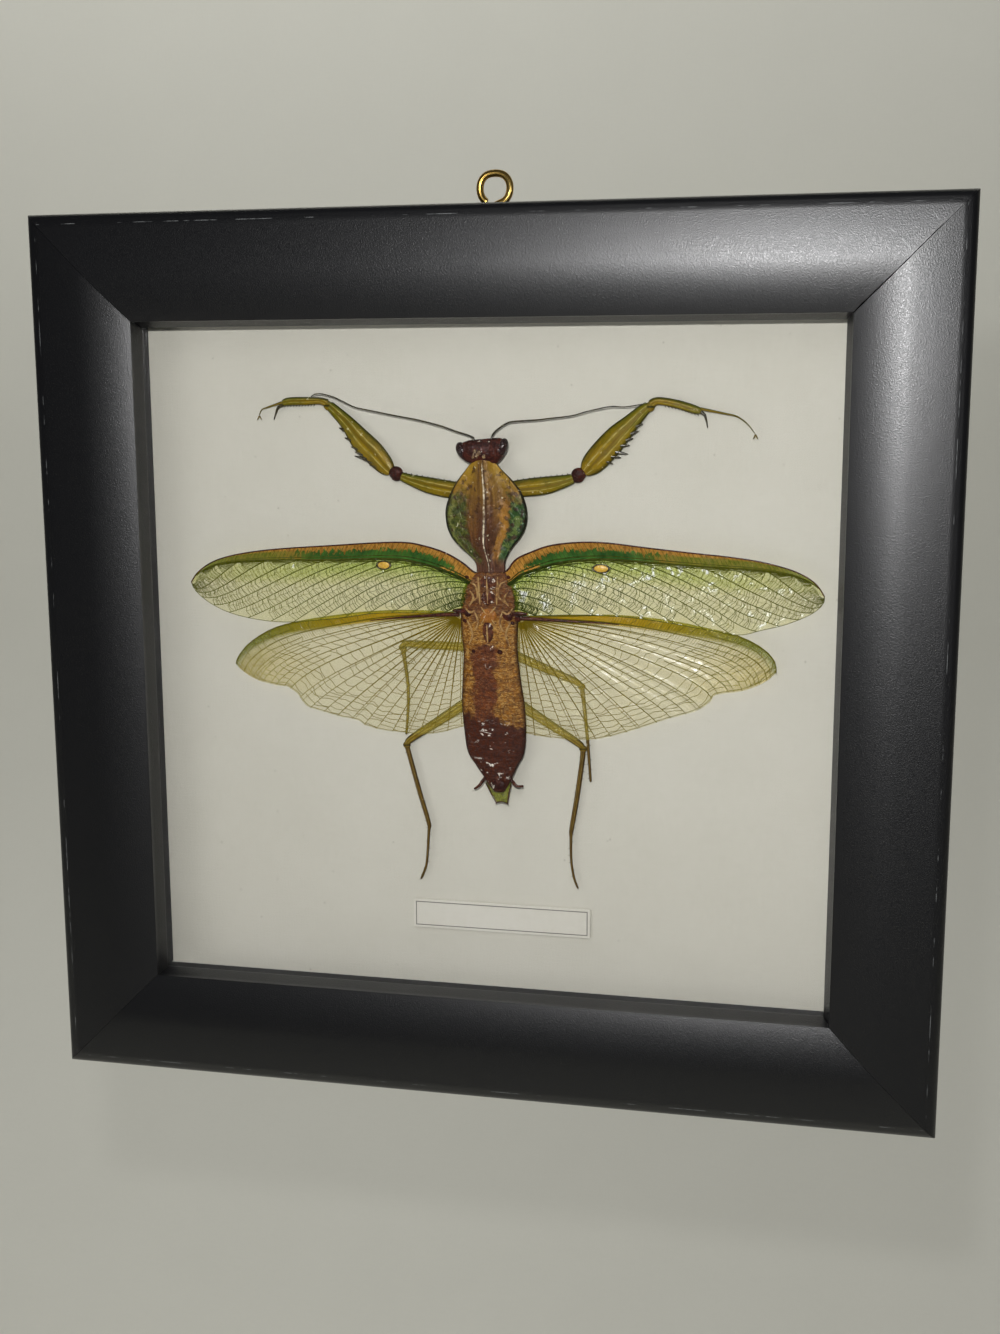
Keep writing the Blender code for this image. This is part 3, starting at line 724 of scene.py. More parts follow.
@dataclass(frozen=True)
class BodyChitin(Finish):
    """Thorax and abdomen: golden translucent sides, reddish centre and a dark rear with painted glints."""

    def paint(self, desk: Desk, effects: Effects) -> Surface:
        """Paint the bands by place.

        Args:
            desk: The finish's nodes.
            effects: The shared groups.

        Returns:
            The sockets that vary.
        """
        x, _, z = desk.axes(desk.place())
        wobble = desk.spread(desk.noise(desk.place(), 380.0, 4.0, 0.6), 0.2, 0.8, -0.0016, 0.0016)
        x_w, z_w = desk.math("ADD", x, wobble), desk.math("ADD", z, desk.times(wobble, 1.3))
        blotch = desk.group(effects.blotch, vector=desk.place(), scale=520.0, amount=0.5)
        wide = desk.stretch(desk.place(), (0.6, 1.0, 2.0))
        crinkle = desk.group(effects.crinkle, vector=wide, scale=1500.0)
        web = desk.group(effects.glint, vector=wide, scale=1150.0, amount=0.85)
        glint = desk.group(effects.glint, vector=desk.stretch(desk.place(), (0.8, 1, 1.3)), scale=600.0, amount=0.34)
        gold = desk.mix(blotch["Tone"], tone(162, 108, 36), tone(80, 42, 10))
        gold = desk.lay(gold, tone(200, 160, 90), web["Glint"], 0.75)
        red = desk.mix(blotch["Tone"], tone(110, 56, 24), tone(58, 26, 12))
        red = desk.lay(red, tone(156, 104, 62), web["Glint"], 0.5)
        centre = desk.times(desk.band(x_w, -0.0016, 0.0032, 0.0006), desk.spread(z_w, 0.0035, 0.0055, 1.0, 0.0))
        colour = desk.mix(centre, gold, red)
        belt = desk.math("SINE", desk.times(z_w, 2 * math.pi / 0.0029))
        belts = desk.times(desk.spread(belt, 0.72, 0.97), desk.spread(z, 0.004, 0.0, 0.0, 0.55))
        colour = desk.mix(belts, colour, tone(64, 30, 12))
        front = desk.mix(blotch["Tone"], tone(118, 70, 30), tone(56, 26, 14))
        front = desk.lay(front, tone(196, 160, 104), web["Glint"], 0.3)
        colour = desk.mix(desk.spread(z_w, 0.0095, 0.0115, smooth=True), colour, front)
        rear = desk.mix(blotch["Tone"], tone(84, 40, 20), tone(42, 16, 8))
        late = desk.minus(z_w, desk.spread(x, 0.0035, 0.0055, 0.0, -0.0022))
        colour = desk.mix(desk.spread(late, -0.0092, -0.0108, smooth=True), colour, rear)
        # Painted shade: darker towards the trunk's side edges as seen from the front.
        turn = desk.times(desk.axes(desk.place("UV"))[1], 2 * math.pi)
        painted_edge_shade = desk.spread(desk.math("ABSOLUTE", desk.math("COSINE", turn)), 0.86, 0.985, 0.0, 0.92)
        colour = desk.mix(painted_edge_shade, colour, tone(40, 18, 8))
        # Painted highlight: white glint squiggles on the rear centre and the upper thorax, kept off the side edges.
        inner = desk.times(desk.spread(painted_edge_shade, 0.0, 0.4, 1.0, 0.0), glint["Glint"])
        off = desk.gap(x, 0.0024)
        where = desk.times(desk.band(z, -0.0232, -0.0112, 0.0008), desk.spread(off, 0.0022, 0.0042, 1.0, 0.12))
        upper = desk.times(desk.band(z, 0.0002, 0.0036, 0.0006), desk.spread(off, 0.001, 0.0022, 1.0, 0.0))
        inner = desk.times(inner, desk.math("MAXIMUM", where, upper))
        colour = desk.lay(colour, tone(240, 234, 220), inner, 0.95)
        return Surface(colour=colour, roughness=desk.spread(blotch["Tone"], 0.0, 1.0, 0.18, 0.4),
                       height=crinkle["Height"])


@dataclass(frozen=True)
class LegChitin(Finish):
    """Olive and ochre leg shell with a green upper edge, painted highlights along its ridges and painted shade at its
    sides.
    """

    light: tuple[float, ...] = (1, 1, 1, 1)
    dark: tuple[float, ...] = (0, 0, 0, 1)
    edge: tuple[float, ...] = (0, 0, 0, 1)
    green: float = 0.0

    def paint(self, desk: Desk, effects: Effects) -> Surface:
        """Paint streaks from the UV map, with v round the leg and its front in the middle of the second half.

        Args:
            desk: The finish's nodes.
            effects: The shared groups.

        Returns:
            The sockets that vary.
        """
        streak = desk.group(effects.streak, vector=desk.place("UV"), lines=16.0)
        blotch = desk.group(effects.blotch, vector=desk.place(), scale=700.0, amount=0.4)
        glint = desk.group(effects.glint, vector=desk.place(), scale=700.0, amount=0.18)
        along, around, _ = desk.axes(desk.place("UV"))
        colour = desk.mix(streak["Streak"], self.light, self.dark)
        colour = desk.lay(colour, self.edge, blotch["Blotch"], 0.3)
        normal = desk.add("ShaderNodeNewGeometry").outputs["Normal"]
        upper = desk.spread(desk.axes(normal)[2], 0.1, 0.65, 0.0, 0.85)
        colour = desk.mix(upper, colour, self.edge)
        colour = desk.mix(desk.spread(along, 0.25, 0.95, 0.0, self.green), colour, tone(84, 92, 6))
        # Painted highlight: broken pale lines along the front ridges.
        gate = desk.noise(desk.stretch(desk.place("UV"), (9, 30, 1)), 1.0, 3.0, 0.6)
        lines = desk.math("MAXIMUM", desk.band(around, 0.675, 0.69, 0.012), desk.band(around, 0.785, 0.8, 0.012))
        pale = desk.times(lines, desk.spread(gate, 0.42, 0.56, 0.0, 0.6))
        colour = desk.mix(desk.band(around, 0.72, 0.75, 0.02), colour, self.dark)
        colour = desk.mix(pale, colour, tone(206, 194, 118))
        # Painted shade: darkens both side edges of the leg as seen from the front.
        painted_side_shade = desk.math("ABSOLUTE", desk.math("COSINE", desk.times(around, 2 * math.pi)))
        colour = desk.mix(desk.spread(painted_side_shade, 0.8, 0.98, 0.0, 0.92), colour, desk.mix(0.6, self.edge, tone(20, 16, 2)))
        # Painted highlight: pale glint squiggles.
        colour = desk.lay(colour, tone(230, 224, 180), glint["Glint"], 0.6)
        return Surface(colour=colour, roughness=desk.spread(streak["Streak"], 0.0, 1.0, 0.2, 0.4),
                       height=streak["Ridge"])


@dataclass(frozen=True)
class ForewingMembrane(Finish):
    """Forewing: orange costal strip, serrated green patch, green root that clears towards the tip."""

    painted_sparkle: float = 0.1
    patch: tuple[float, float] = (0.09, 0.62)

    def paint(self, desk: Desk, effects: Effects) -> Surface:
        """Paint from the UV map, with u from root to tip and v from the leading to the rear edge.

        Args:
            desk: The finish's nodes.
            effects: The shared groups.

        Returns:
            The sockets that vary.
        """
        along, across, _ = desk.axes(desk.place("UV"))
        grain = desk.noise(desk.stretch(desk.place("UV"), (90, 10, 1)), 1.0, 4.0, 0.7)
        teeth = desk.spread(grain, 0.3, 0.7, -0.07, 0.07)
        cloud = desk.noise(desk.place(), 350.0, 4.0)
        vein = desk.spread(along, 0.1, 0.95, 0.27, 0.1)
        behind = desk.minus(across, vein)
        strip = desk.spread(behind, -0.01, 0.012, 1.0, 0.0, smooth=True)
        green = desk.mix(cloud, tone(164, 184, 6), tone(122, 156, 6))
        clear = tone(196, 190, 66)
        fade_along = desk.spread(desk.math("ADD", along, desk.times(cloud, 0.2)), 0.25, 0.95)
        fade_across = desk.times(desk.spread(behind, 0.02, 0.36), desk.spread(along, 0.0, 0.22, 0.55, 1.0))
        share = desk.math("MAXIMUM", desk.times(fade_along, 0.75), fade_across)
        membrane = desk.mix(share, green, clear)
        alpha = desk.spread(share, 0.0, 1.0, 0.62, 0.2)
        orange = desk.mix(desk.spread(grain, 0.35, 0.65), tone(196, 142, 60), tone(126, 84, 24))
        dark_green = desk.mix(desk.spread(cloud, 0.35, 0.65), tone(28, 66, 26), tone(62, 104, 34))
        upper = desk.math("ADD", desk.times(vein, 0.42), teeth)
        low, high = self.patch
        inside = desk.times(desk.band(desk.math("ADD", along, teeth), low, high, 0.02),
                           desk.spread(desk.minus(across, upper), -0.01, 0.01))
        band = desk.mix(inside, orange, dark_green)
        hem = desk.times(desk.spread(along, 0.5, 0.85, 0.36, 0.06), vein)
        far = desk.times(desk.spread(along, high - 0.08, high + 0.06),
                        desk.spread(desk.minus(across, hem), -0.01, 0.02))
        band = desk.mix(far, band, desk.mix(desk.spread(grain, 0.4, 0.6), tone(96, 104, 26), tone(128, 120, 44)))
        band = desk.mix(desk.spread(along, 0.82, 0.95), band, tone(134, 140, 62))
        colour = desk.mix(strip, membrane, band)
        # Painted highlight: white sparkle squiggles on the membrane, made more opaque where they show.
        glint = desk.group(effects.glint, vector=desk.place(), scale=420.0, amount=self.painted_sparkle)
        gleam = desk.times(glint["Glint"], desk.minus(1.0, strip))
        colour, alpha = desk.mix(gleam, colour, tone(246, 248, 240)), desk.math("MAXIMUM", alpha, gleam)
        full = desk.math("MAXIMUM", alpha, desk.times(strip, desk.spread(along, 0.86, 1.0, 0.97, 0.5)))
        return Surface(colour=colour, alpha=full, roughness=desk.spread(cloud, 0.3, 0.7, 0.08, 0.26), height=grain)


@dataclass(frozen=True)
class HindwingMembrane(Finish):
    """Hindwing: opaque ochre leading band, then a clear crinkled fan with a yellow root."""

    def paint(self, desk: Desk, effects: Effects) -> Surface:
        """Paint from the UV map, with u from root to margin and v from the leading edge round.

        Args:
            desk: The finish's nodes.
            effects: The shared groups; not used.

        Returns:
            The sockets that vary.
        """
        along, across, _ = desk.axes(desk.place("UV"))
        cloud = desk.noise(desk.place(), 420.0, 4.0)
        grain = desk.noise(desk.place(), 2600.0, 3.0)
        ochre = desk.mix(grain, tone(182, 150, 14), tone(146, 116, 10))
        olive = desk.mix(grain, tone(132, 134, 18), tone(98, 104, 14))
        band_colour = desk.mix(desk.spread(along, 0.4, 0.85), ochre, olive)
        edge = desk.spread(along, 0.1, 1.0, 0.085, 0.012)
        band = desk.spread(desk.minus(across, edge), -0.012, 0.022, 1.0, 0.0, smooth=True)
        root = desk.spread(along, 0.02, 0.3, 0.75, 0.0)
        tip = desk.times(desk.spread(along, 0.7, 1.0), desk.spread(across, 0.06, 0.34, 0.55, 0.0))
        tint = desk.math("MAXIMUM", root, tip)
        clear = desk.mix(cloud, tone(206, 194, 104), tone(184, 170, 66))
        colour = desk.mix(tint, clear, tone(176, 152, 44))
        colour = desk.mix(band, colour, band_colour)
        alpha = desk.math("MAXIMUM", desk.math("ADD", desk.times(tint, 0.5), 0.17),
                          desk.times(band, desk.spread(along, 0.6, 0.95, 0.93, 0.6)))
        return Surface(colour=colour, alpha=alpha, roughness=desk.spread(cloud, 0.3, 0.7, 0.1, 0.34), height=cloud)


@dataclass(frozen=True)
class WingVein(Finish):
    """Vein: darker near the root, paler towards the tip."""

    near: tuple[float, ...] = (1, 1, 1, 1)
    far: tuple[float, ...] = (0, 0, 0, 1)

    def paint(self, desk: Desk, effects: Effects) -> Surface:
        """Paint by distance from the body.

        Args:
            desk: The finish's nodes.
            effects: The shared groups; not used.

        Returns:
            The sockets that vary.
        """
        x, _, _ = desk.axes(desk.place())
        away = desk.gap(x, 1.5 * MM)
        cloud = desk.noise(desk.place(), 700.0, 3.0)
        share = desk.math("ADD", desk.spread(away, 0.006, 0.045), desk.spread(cloud, 0.3, 0.7, -0.2, 0.2), clamp=True)
        return Surface(colour=desk.mix(share, self.near, self.far),
                       roughness=desk.spread(cloud, 0.3, 0.7, 0.16, 0.4), height=cloud)


# Shaping helpers

def clear_selection() -> None:
    """Deselect everything, so that an operator works on its own piece alone."""
    bpy.ops.object.select_all(action="DESELECT")


def curve_point(points: Sequence[Point], position: float) -> Point:
    """Return the point at a fractional index on a smooth curve through the points.

    Args:
        points: The points.
        position: The fractional index.

    Returns:
        The point there.
    """
    last = len(points) - 1
    start = min(int(position), last - 1)
    t = position - start
    p0, p1, p2, p3 = (points[max(0, min(last, start + k))] for k in (-1, 0, 1, 2))
    return tuple(
        0.5 * (2 * b + (c - a) * t + (2 * a - 5 * b + 4 * c - d) * t * t + (3 * b - a - 3 * c + d) * t ** 3)
        for a, b, c, d in zip(p0, p1, p2, p3))


def resample(points: Sequence[Point], count: int) -> list[Point]:
    """Return points evenly spaced along the smooth curve through the given ones.

    Args:
        points: The given points.
        count: How many points there will be.

    Returns:
        The new points.
    """
    fine = [curve_point(points, i / 12) for i in range(12 * (len(points) - 1) + 1)]
    travelled = [0.0]
    for first, second in zip(fine, fine[1:]):
        travelled.append(travelled[-1] + math.dist(first[:2], second[:2]))
    result, k = [], 0
    for i in range(count):
        target = travelled[-1] * i / (count - 1)
        while k < len(fine) - 2 and travelled[k + 1] < target:
            k += 1
        share = (target - travelled[k]) / (travelled[k + 1] - travelled[k])
        result.append(tuple(a + (b - a) * share for a, b in zip(fine[k], fine[k + 1])))
    return result


def along(points: Sequence[Point], share: float) -> Point:
    """Return the point at a share of an evenly sampled row of points.

    Args:
        points: The row.
        share: How far along it, from 0 to 1.

    Returns:
        The point there.
    """
    position = min(max(share, 0.0), 1.0) * (len(points) - 1)
    start = min(int(position), len(points) - 2)
    return tuple(a + (b - a) * (position - start) for a, b in zip(points[start], points[start + 1]))


def hills(x: float, z: float, size: float) -> float:
    """Return a smooth uneven height from -1 to 1 at a place, with hills about as wide as size.

    Args:
        x: The place across.
        z: The height of the place.
        size: The width of a hill.

    Returns:
        The height.
    """
    a, b = x / size, z / size
    return (math.sin(a * 2.1 + math.sin(b * 1.7)) + math.sin(b * 2.6 + 1.3 * math.sin(a * 1.9 + 2.0))
            + math.sin((a + b) * 3.7 + 0.8)) / 3


def dress(made: bpy.types.Object, finish: bpy.types.Material) -> None:
    """Give an object one finish alone."""
    made.data.materials.clear()
    made.data.materials.append(finish)


def finish_piece(made: bpy.types.Object, name: str, finish: bpy.types.Material,
                 nodes: Sequence[str] = ()) -> bpy.types.Object:
    """Name a piece, dress it and tie it to the frame.

    Args:
        made: The piece, already in place.
        name: Its name.
        finish: Its material.
        nodes: The solids that it stands for.

    Returns:
        The same piece.
    """
    made.name = made.data.name = name
    dress(made, finish)
    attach(made, "root")
    if nodes:
        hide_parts(*nodes)
    LOG.info("%s: %d faces", name, len(made.data.polygons))
    return made


def mapped_grid(columns: int, rows: int, place: Callable[[float, float], Point], faces_front: bool = False,
                thickness: float = 0.0, smooth: float = 60.0) -> bpy.types.Object:
    """Shape a grid primitive into a curved piece that keeps the grid's UV map.

    Args:
        columns: How many steps there are along u.
        rows: How many steps there are along v.
        place: Gives (x, y, z) in millimetres for u and v from 0 to 1.
        faces_front: Whether an open sheet is turned to face the viewer.
        thickness: The wall that an open sheet gets behind it, in millimetres.
        smooth: The angle in degrees below which an edge is shaded smooth.

    Returns:
        The piece in metres.
    """
    clear_selection()
    bpy.ops.mesh.primitive_grid_add(x_subdivisions=columns, y_subdivisions=rows, size=2.0, calc_uvs=True)
    made = bpy.context.object
    for vertex in made.data.vertices:
        x, y, z = place((vertex.co.x + 1) / 2, (vertex.co.y + 1) / 2)
        vertex.co = (x * MM, y * MM, z * MM)
    bpy.ops.object.mode_set(mode="EDIT")
    bpy.ops.mesh.select_all(action="SELECT")
    bpy.ops.mesh.remove_doubles(threshold=0.000004)
    bpy.ops.mesh.normals_make_consistent(inside=False)
    bpy.ops.object.mode_set(mode="OBJECT")
    if faces_front:
        if sum(face.normal.y * face.area for face in made.data.polygons) > 0:
            made.data.flip_normals()
    if thickness:
        wall = made.modifiers.new("wall", "SOLIDIFY")
        wall.thickness, wall.offset = thickness * MM, -1.0
        bpy.ops.object.modifier_apply(modifier=wall.name)
    bpy.ops.object.shade_smooth_by_angle(angle=math.radians(smooth))
    return made


def tubes(paths: Sequence[Sequence[Point]], radius: float, sides: int = 0) -> bpy.types.Object:
    """Draw wires along paths and turn them into one mesh.

    Args:
        paths: Rows of (x, y, z, thickness share) in millimetres.
        radius: The wires' radius in millimetres.
        sides: The curve's bevel resolution; 0 gives four sides.

    Returns:
        The mesh in metres.
    """
    clear_selection()
    data = bpy.data.curves.new("wires", "CURVE")
    data.dimensions, data.bevel_depth, data.bevel_resolution, data.use_fill_caps = "3D", radius * MM, sides, True
    for path in paths:
        spline = data.splines.new("POLY")
        spline.points.add(len(path) - 1)
        for point, (x, y, z, share) in zip(spline.points, path):
            point.co, point.radius = (x * MM, y * MM, z * MM, 1.0), share
    made = bpy.data.objects.new("wires", data)
    bpy.context.scene.collection.objects.link(made)
    made.select_set(True)
    bpy.context.view_layer.objects.active = made
    bpy.ops.object.convert(target="MESH")
    made = bpy.context.object
    bpy.ops.object.shade_smooth_by_angle(angle=math.radians(80))
    return made


def ball(centre: Point, radii: Point, turn: float = 0.0, rings: int = 16, segments: int = 24) -> bpy.types.Object:
    """Add a ball, stretch it and turn it in the upright plane; lengths are in millimetres.

    Args:
        centre: The middle of the ball.
        radii: Its three radii.
        turn: Its turn in radians.
        rings: How many rings it has.
        segments: How many sides a ring has.

    Returns:
        The ball in metres.
    """
    clear_selection()
    bpy.ops.mesh.primitive_uv_sphere_add(segments=segments, ring_count=rings, radius=1.0)
    made = bpy.context.object
    made.data.transform(Matrix.Translation(Vector(centre) * MM) @ Matrix.Rotation(turn, 4, "Y")
                        @ Matrix.Diagonal((*(r * MM for r in radii), 1.0)))
    bpy.ops.object.shade_smooth()
    return made


def join(pieces: Sequence[bpy.types.Object]) -> bpy.types.Object:
    """Join meshes into one piece.

    Args:
        pieces: The meshes.

    Returns:
        The joined piece.
    """
    clear_selection()
    for piece in pieces:
        piece.select_set(True)
    bpy.context.view_layer.objects.active = pieces[0]
    bpy.ops.object.join()
    return bpy.context.object


def rounded(u: float, cap: float) -> float:
    """Return how thick a closed shape is at u, with both of its ends rounded off."""
    end = min(1.0, u / cap, (1 - u) / cap)
    return math.sqrt(max(0.0, 1 - (1 - end) ** 2))


def limb(stations: Sequence[Point], y: float, columns: int, ridges: float = 0.05, cap: float = 0.05,
         around: int = 20) -> bpy.types.Object:
    """Sweep a ridged oval along (x, z, width, depth) stations and round both ends.

    Args:
        stations: The stations in millimetres.
        y: The depth of the limb's middle.
        columns: How many rings there are.
        ridges: The height of the long ridges, as a share of the radius.
        cap: The share of the length that each rounded end takes.
        around: How many sides a ring has.

    Returns:
        The limb in metres.
    """
    row = resample(stations, columns + 1)

    def place(u: float, v: float) -> Point:
        """Return a place on the limb.

        Args:
            u: The share along it.
            v: The share across it.

        Returns:
            The place.
        """
        x, z, width, depth = along(row, u)
        before, after = along(row, u - 0.01), along(row, u + 0.01)
        heading = math.atan2(after[1] - before[1], after[0] - before[0])
        size = rounded(u, cap)
        turn = 2 * math.pi * v
        size *= 1 + ridges * math.cos(6 * turn)
        across = math.cos(turn) * width / 2 * size
        return x - math.sin(heading) * across, y + math.sin(turn) * depth / 2 * size, z + math.cos(heading) * across

    return mapped_grid(columns, around, place)


# Frame

@dataclass
class BoxFrame:
    """The black mitred frame, its glass, spacers, card and back."""

    width: float = 184.0
    height: float = 180.0
    face: float = 21.2
    back: float = 0.7
    corner_y: float = 15.6
    corner_radius: float = 1.9
    crown_start: tuple[float, float] = (2.05, 17.56)
    crown_rise: float = 0.44
    crown_power: float = 1.7
    crest_inset: float = 11.0
    crest: float = 18.0
    lip: float = 16.2
    sight_step: float = 1.1
    sight_y: float = 13.55
    rebate_width: float = 5.5
    rebate_y: float = 13.1
    mitre_gap: float = 0.04
    sides: tuple[str, ...] = ("top", "right", "bottom", "left")

    def profile(self) -> list[tuple[float, float]]:
        """Return the rail's closed section as (inset, y), the face first.

        Returns:
            The section, from the back round the face to the rebate.
        """
        rows = [(0.0, -self.back), (0.0, -8.0), (0.0, -15.4)]
        for i in range(1, 7):
            turn = math.radians(15 * i)
            rows.append((self.corner_radius * (1 - math.cos(turn)),
                         -self.corner_y - self.corner_radius * math.sin(turn)))
        start, start_y = self.crown_start
        rows.append((start, -start_y))
        for i in range(1, 25):
            inset = start + (self.face - start) * i / 24
            rising = inset < self.crest_inset
            reach = self.crest_inset - start if rising else self.face - self.crest_inset
            fall = self.crown_rise if rising else self.crest - self.lip
            rows.append((inset, -self.crest + fall * abs((inset - self.crest_inset) / reach) ** self.crown_power))
        sight = self.face + self.sight_step
        rebate = sight - self.rebate_width
        rows += [(self.face + 0.15, -15.1), (sight, -self.sight_y), (sight, -self.rebate_y),
                 (rebate, -self.rebate_y), (rebate, -self.back)]
        return rows

    def build_rail(self, side: str, finish: bpy.types.Material) -> bpy.types.Object:
        """Build one mitred rail from a grid wrapped round its section.

        Args:
            side: Which rail it is.
            finish: Its material.

        Returns:
            The rail.
        """
        length, across = (self.width, self.height) if side in ("top", "bottom") else (self.height, self.width)
        rows = self.profile()
        rows.append(rows[0])
        seeds = random.Random(side)
        chips = [(seeds.uniform(0.3, 0.95), seeds.uniform(0.15, 0.4)) for _ in range(6)]

        def place(u: float, v: float) -> Point:
            """Return a place on the rail; its ends are mitred, with a few chips at one corner.

            Args:
                u: The share along it.
                v: The share across it.

            Returns:
                The place.
            """
            index = round(v * (len(rows) - 1))
            inset, y = rows[index]
            relief = self.mitre_gap
            end = 1 if u > 0.5 else -1
            if (side, end) in (("top", 1), ("right", -1)) and 2 < inset <= self.face:
                relief += 0.2 * max(0.0, inset / self.face - 0.3)
                relief += sum(size * max(0.0, 1 - abs(inset / self.face - at) / 0.03) for at, size in chips) * 0.5
            reach = (length / 2 - inset - relief) * (2 * u - 1)
            out = across / 2 - inset
            return {"top": (reach, y, out), "right": (out, y, -reach), "bottom": (-reach, y, -out),
                    "left": (-out, y, reach)}[side]

        made = mapped_grid(48, len(rows) - 1, place, smooth=32)
        bpy.ops.object.mode_set(mode="EDIT")
        bpy.ops.mesh.select_all(action="DESELECT")
        bpy.ops.mesh.select_non_manifold(extend=False)
        bpy.ops.mesh.edge_face_add()
        bpy.ops.mesh.select_all(action="SELECT")
        bpy.ops.mesh.normals_make_consistent(inside=False)
        bpy.ops.object.mode_set(mode="OBJECT")
        bpy.ops.object.shade_smooth_by_angle(angle=math.radians(32))
        return finish_piece(made, "black_rail_" + side, finish, ["rail_" + side])

    def build(self, finishes: Finishes) -> None:
        """Build the rails and dress the flat layers behind them.

        Args:
            finishes: All finishes.
        """
        for side in self.sides:
            self.build_rail(side, finishes["lacquer"])
        dressed = {"glass": "glass", "mount_card": "card", "back_board": "board", "backing_paper": "kraft",
                   "label_slip": "slip"}
        dressed.update({"spacer_" + side: "spacer" for side in self.sides})
        for node, finish in dressed.items():
            dress(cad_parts[node], finishes[finish])
            LOG.info("%s dressed with %s", node, finish)


@dataclass
class ScrewEye:
    """The brass wire eye in the top rail."""

    x: float = 1.8
    y: float = -5.5
    shank: tuple[float, ...] = (82.6, 85.0, 87.5, 90.0)
    neck: tuple[float, float] = (0.15, 90.55)
    half_width: float = 2.98
    half_height: float = 2.85
    centre: float = 93.75
    wire: float = 0.72
    first_angle: float = -66.0
    sweep: float = 312.0
    steps: int = 40

    def build(self, finish: bpy.types.Material) -> None:
        """Sweep the wire from its shank round the ring.

        Args:
            finish: The brass.
        """
        route = [*((self.x, z) for z in self.shank), (self.x + self.neck[0], self.neck[1])]
        for i in range(self.steps):
            turn = math.radians(self.first_angle + self.sweep * i / (self.steps - 1))
            side, rise = math.cos(turn), math.sin(turn)
            route.append((self.x + self.half_width * math.copysign(abs(side) ** 0.8, side),
                          self.centre + self.half_height * math.copysign(abs(rise) ** 0.95, rise)))
        stations = [(x, z, 2 * self.wire, 2 * self.wire) for x, z in route]
        made = limb(stations, self.y, 120, ridges=0.0, cap=0.012, around=18)
        finish_piece(made, "brass_screw_eye", finish, ["screw_eye"])


# Specimen

# Head, as (x, lowest z, highest z, half depth) from its left eye to its right one
HEAD_SECTIONS = [
    (-5.1, 43.0, 43.8, 0.3), (-4.6, 42.2, 44.4, 0.9), (-3.6, 41.4, 45.0, 1.25),
    (-2.2, 40.7, 45.4, 1.25), (0.1, 40.3, 45.6, 1.2), (2.4, 40.5, 45.8, 1.25),
    (3.8, 41.4, 45.8, 1.25), (4.7, 42.6, 45.3, 0.9), (5.2, 43.6, 44.6, 0.3),
]

# Shield over the thorax, as (z, left x, right x) from the neck back
SHIELD_SECTIONS = [
    (40.6, -2.5, 3.2), (39.2, -3.6, 4.5), (37.4, -5.0, 6.3), (35.2, -6.3, 8.0), (32.5, -7.3, 9.0),
    (30.4, -7.5, 9.2), (28.2, -7.2, 8.8), (26.3, -6.4, 7.8), (24.7, -5.1, 6.5), (23.2, -3.4, 5.5),
    (21.7, -1.8, 4.8), (20.4, -1.2, 4.7), (19.3, -1.2, 4.7),
]

# Hind thorax and abdomen, as (z, left x, right x)
BODY_SECTIONS = [
    (19.4, -1.0, 5.5), (17.8, -2.6, 5.9), (15.6, -3.9, 6.9), (12.0, -4.4, 7.3), (7.0, -4.3, 7.3),
    (3.0, -3.9, 7.3), (-2.2, -4.1, 7.9), (-7.4, -4.3, 8.7), (-12.6, -3.9, 9.0), (-17.4, -3.2, 8.6),
    (-20.1, -1.6, 7.3), (-22.8, 0.3, 6.1), (-24.4, 1.2, 5.3), (-25.9, 2.6, 4.4),
]
# Raised tendons of the thorax, each a row of (x, z)
TENDONS = [
    [(-2.6, 17.2), (-1.2, 16.6), (-0.7, 14.4), (-2.0, 13.4)], [(5.0, 17.6), (3.9, 16.8), (3.6, 14.6), (4.9, 13.2)],
    [(-2.4, 15.6), (-1.6, 14.2), (-2.5, 12.4)], [(5.4, 15.4), (4.7, 14.0), (5.6, 12.6)],
    [(0.0, 12.3), (1.4, 10.9), (3.0, 12.4)], [(0.1, 9.1), (1.4, 10.7), (2.8, 9.0)],
    [(-1.4, 11.4), (-0.6, 9.2), (-1.4, 7.4)], [(4.3, 11.4), (3.8, 9.2), (4.6, 7.4)],
    [(-3.0, 9.6), (-1.8, 7.0), (-2.6, 4.6)], [(6.0, 9.4), (5.0, 7.0), (5.8, 4.6)], [(1.2, 8.9), (1.35, 5.2)],
    [(-0.6, 18.4), (-0.2, 12.8)], [(3.4, 18.4), (3.2, 12.8)], [(1.2, 18.6), (1.4, 13.0)],
    [(-3.4, 12.2), (-2.4, 11.2), (-1.2, 11.6)], [(6.4, 12.2), (5.4, 11.0), (4.2, 11.6)],
]
# Dark knots of the trunk, as (x, z, size)
DARK_KNOTS = [
    (-1.6, 3.3, 0.5), (3.8, 3.3, 0.6), (-2.7, 10.9, 0.9), (5.3, 10.5, 1.1), (-3.0, 18.2, 0.6), (5.5, 18.4, 0.7),
    (-3.4, 9.4, 0.5), (6.3, 9.2, 0.5), (7.3, 10.1, 0.8), (3.4, -24.2, 1.6),
]
# Raised plates of the back, as (x, z, half width, half height)
BACK_PLATES = [(1.5, 17.2, 1.7, 1.6), (1.5, 14.2, 1.5, 1.6), (1.4, 7.4, 1.2, 2.4), (1.5, 4.0, 1.5, 1.1)]
END_PLATE_LEFT = [(0.6, -23.8), (1.6, -25.8), (2.9, -28.0)]
END_PLATE_RIGHT = [(5.9, -23.8), (5.4, -25.9), (5.1, -28.1)]
END_PLATE_HEM = [
    (0.6, -24.0), (1.6, -25.9), (2.75, -28.0), (2.95, -28.0), (4.0, -27.75), (5.0, -28.1), (5.15, -28.0),
    (5.45, -25.9), (5.9, -24.0),
]
CERCI = [
    [(1.0, -22.6), (0.0, -23.6), (-0.8, -24.7), (-1.9, -25.5)],
    [(5.2, -22.4), (6.0, -23.3), (7.1, -24.4), (8.5, -24.3)],
]

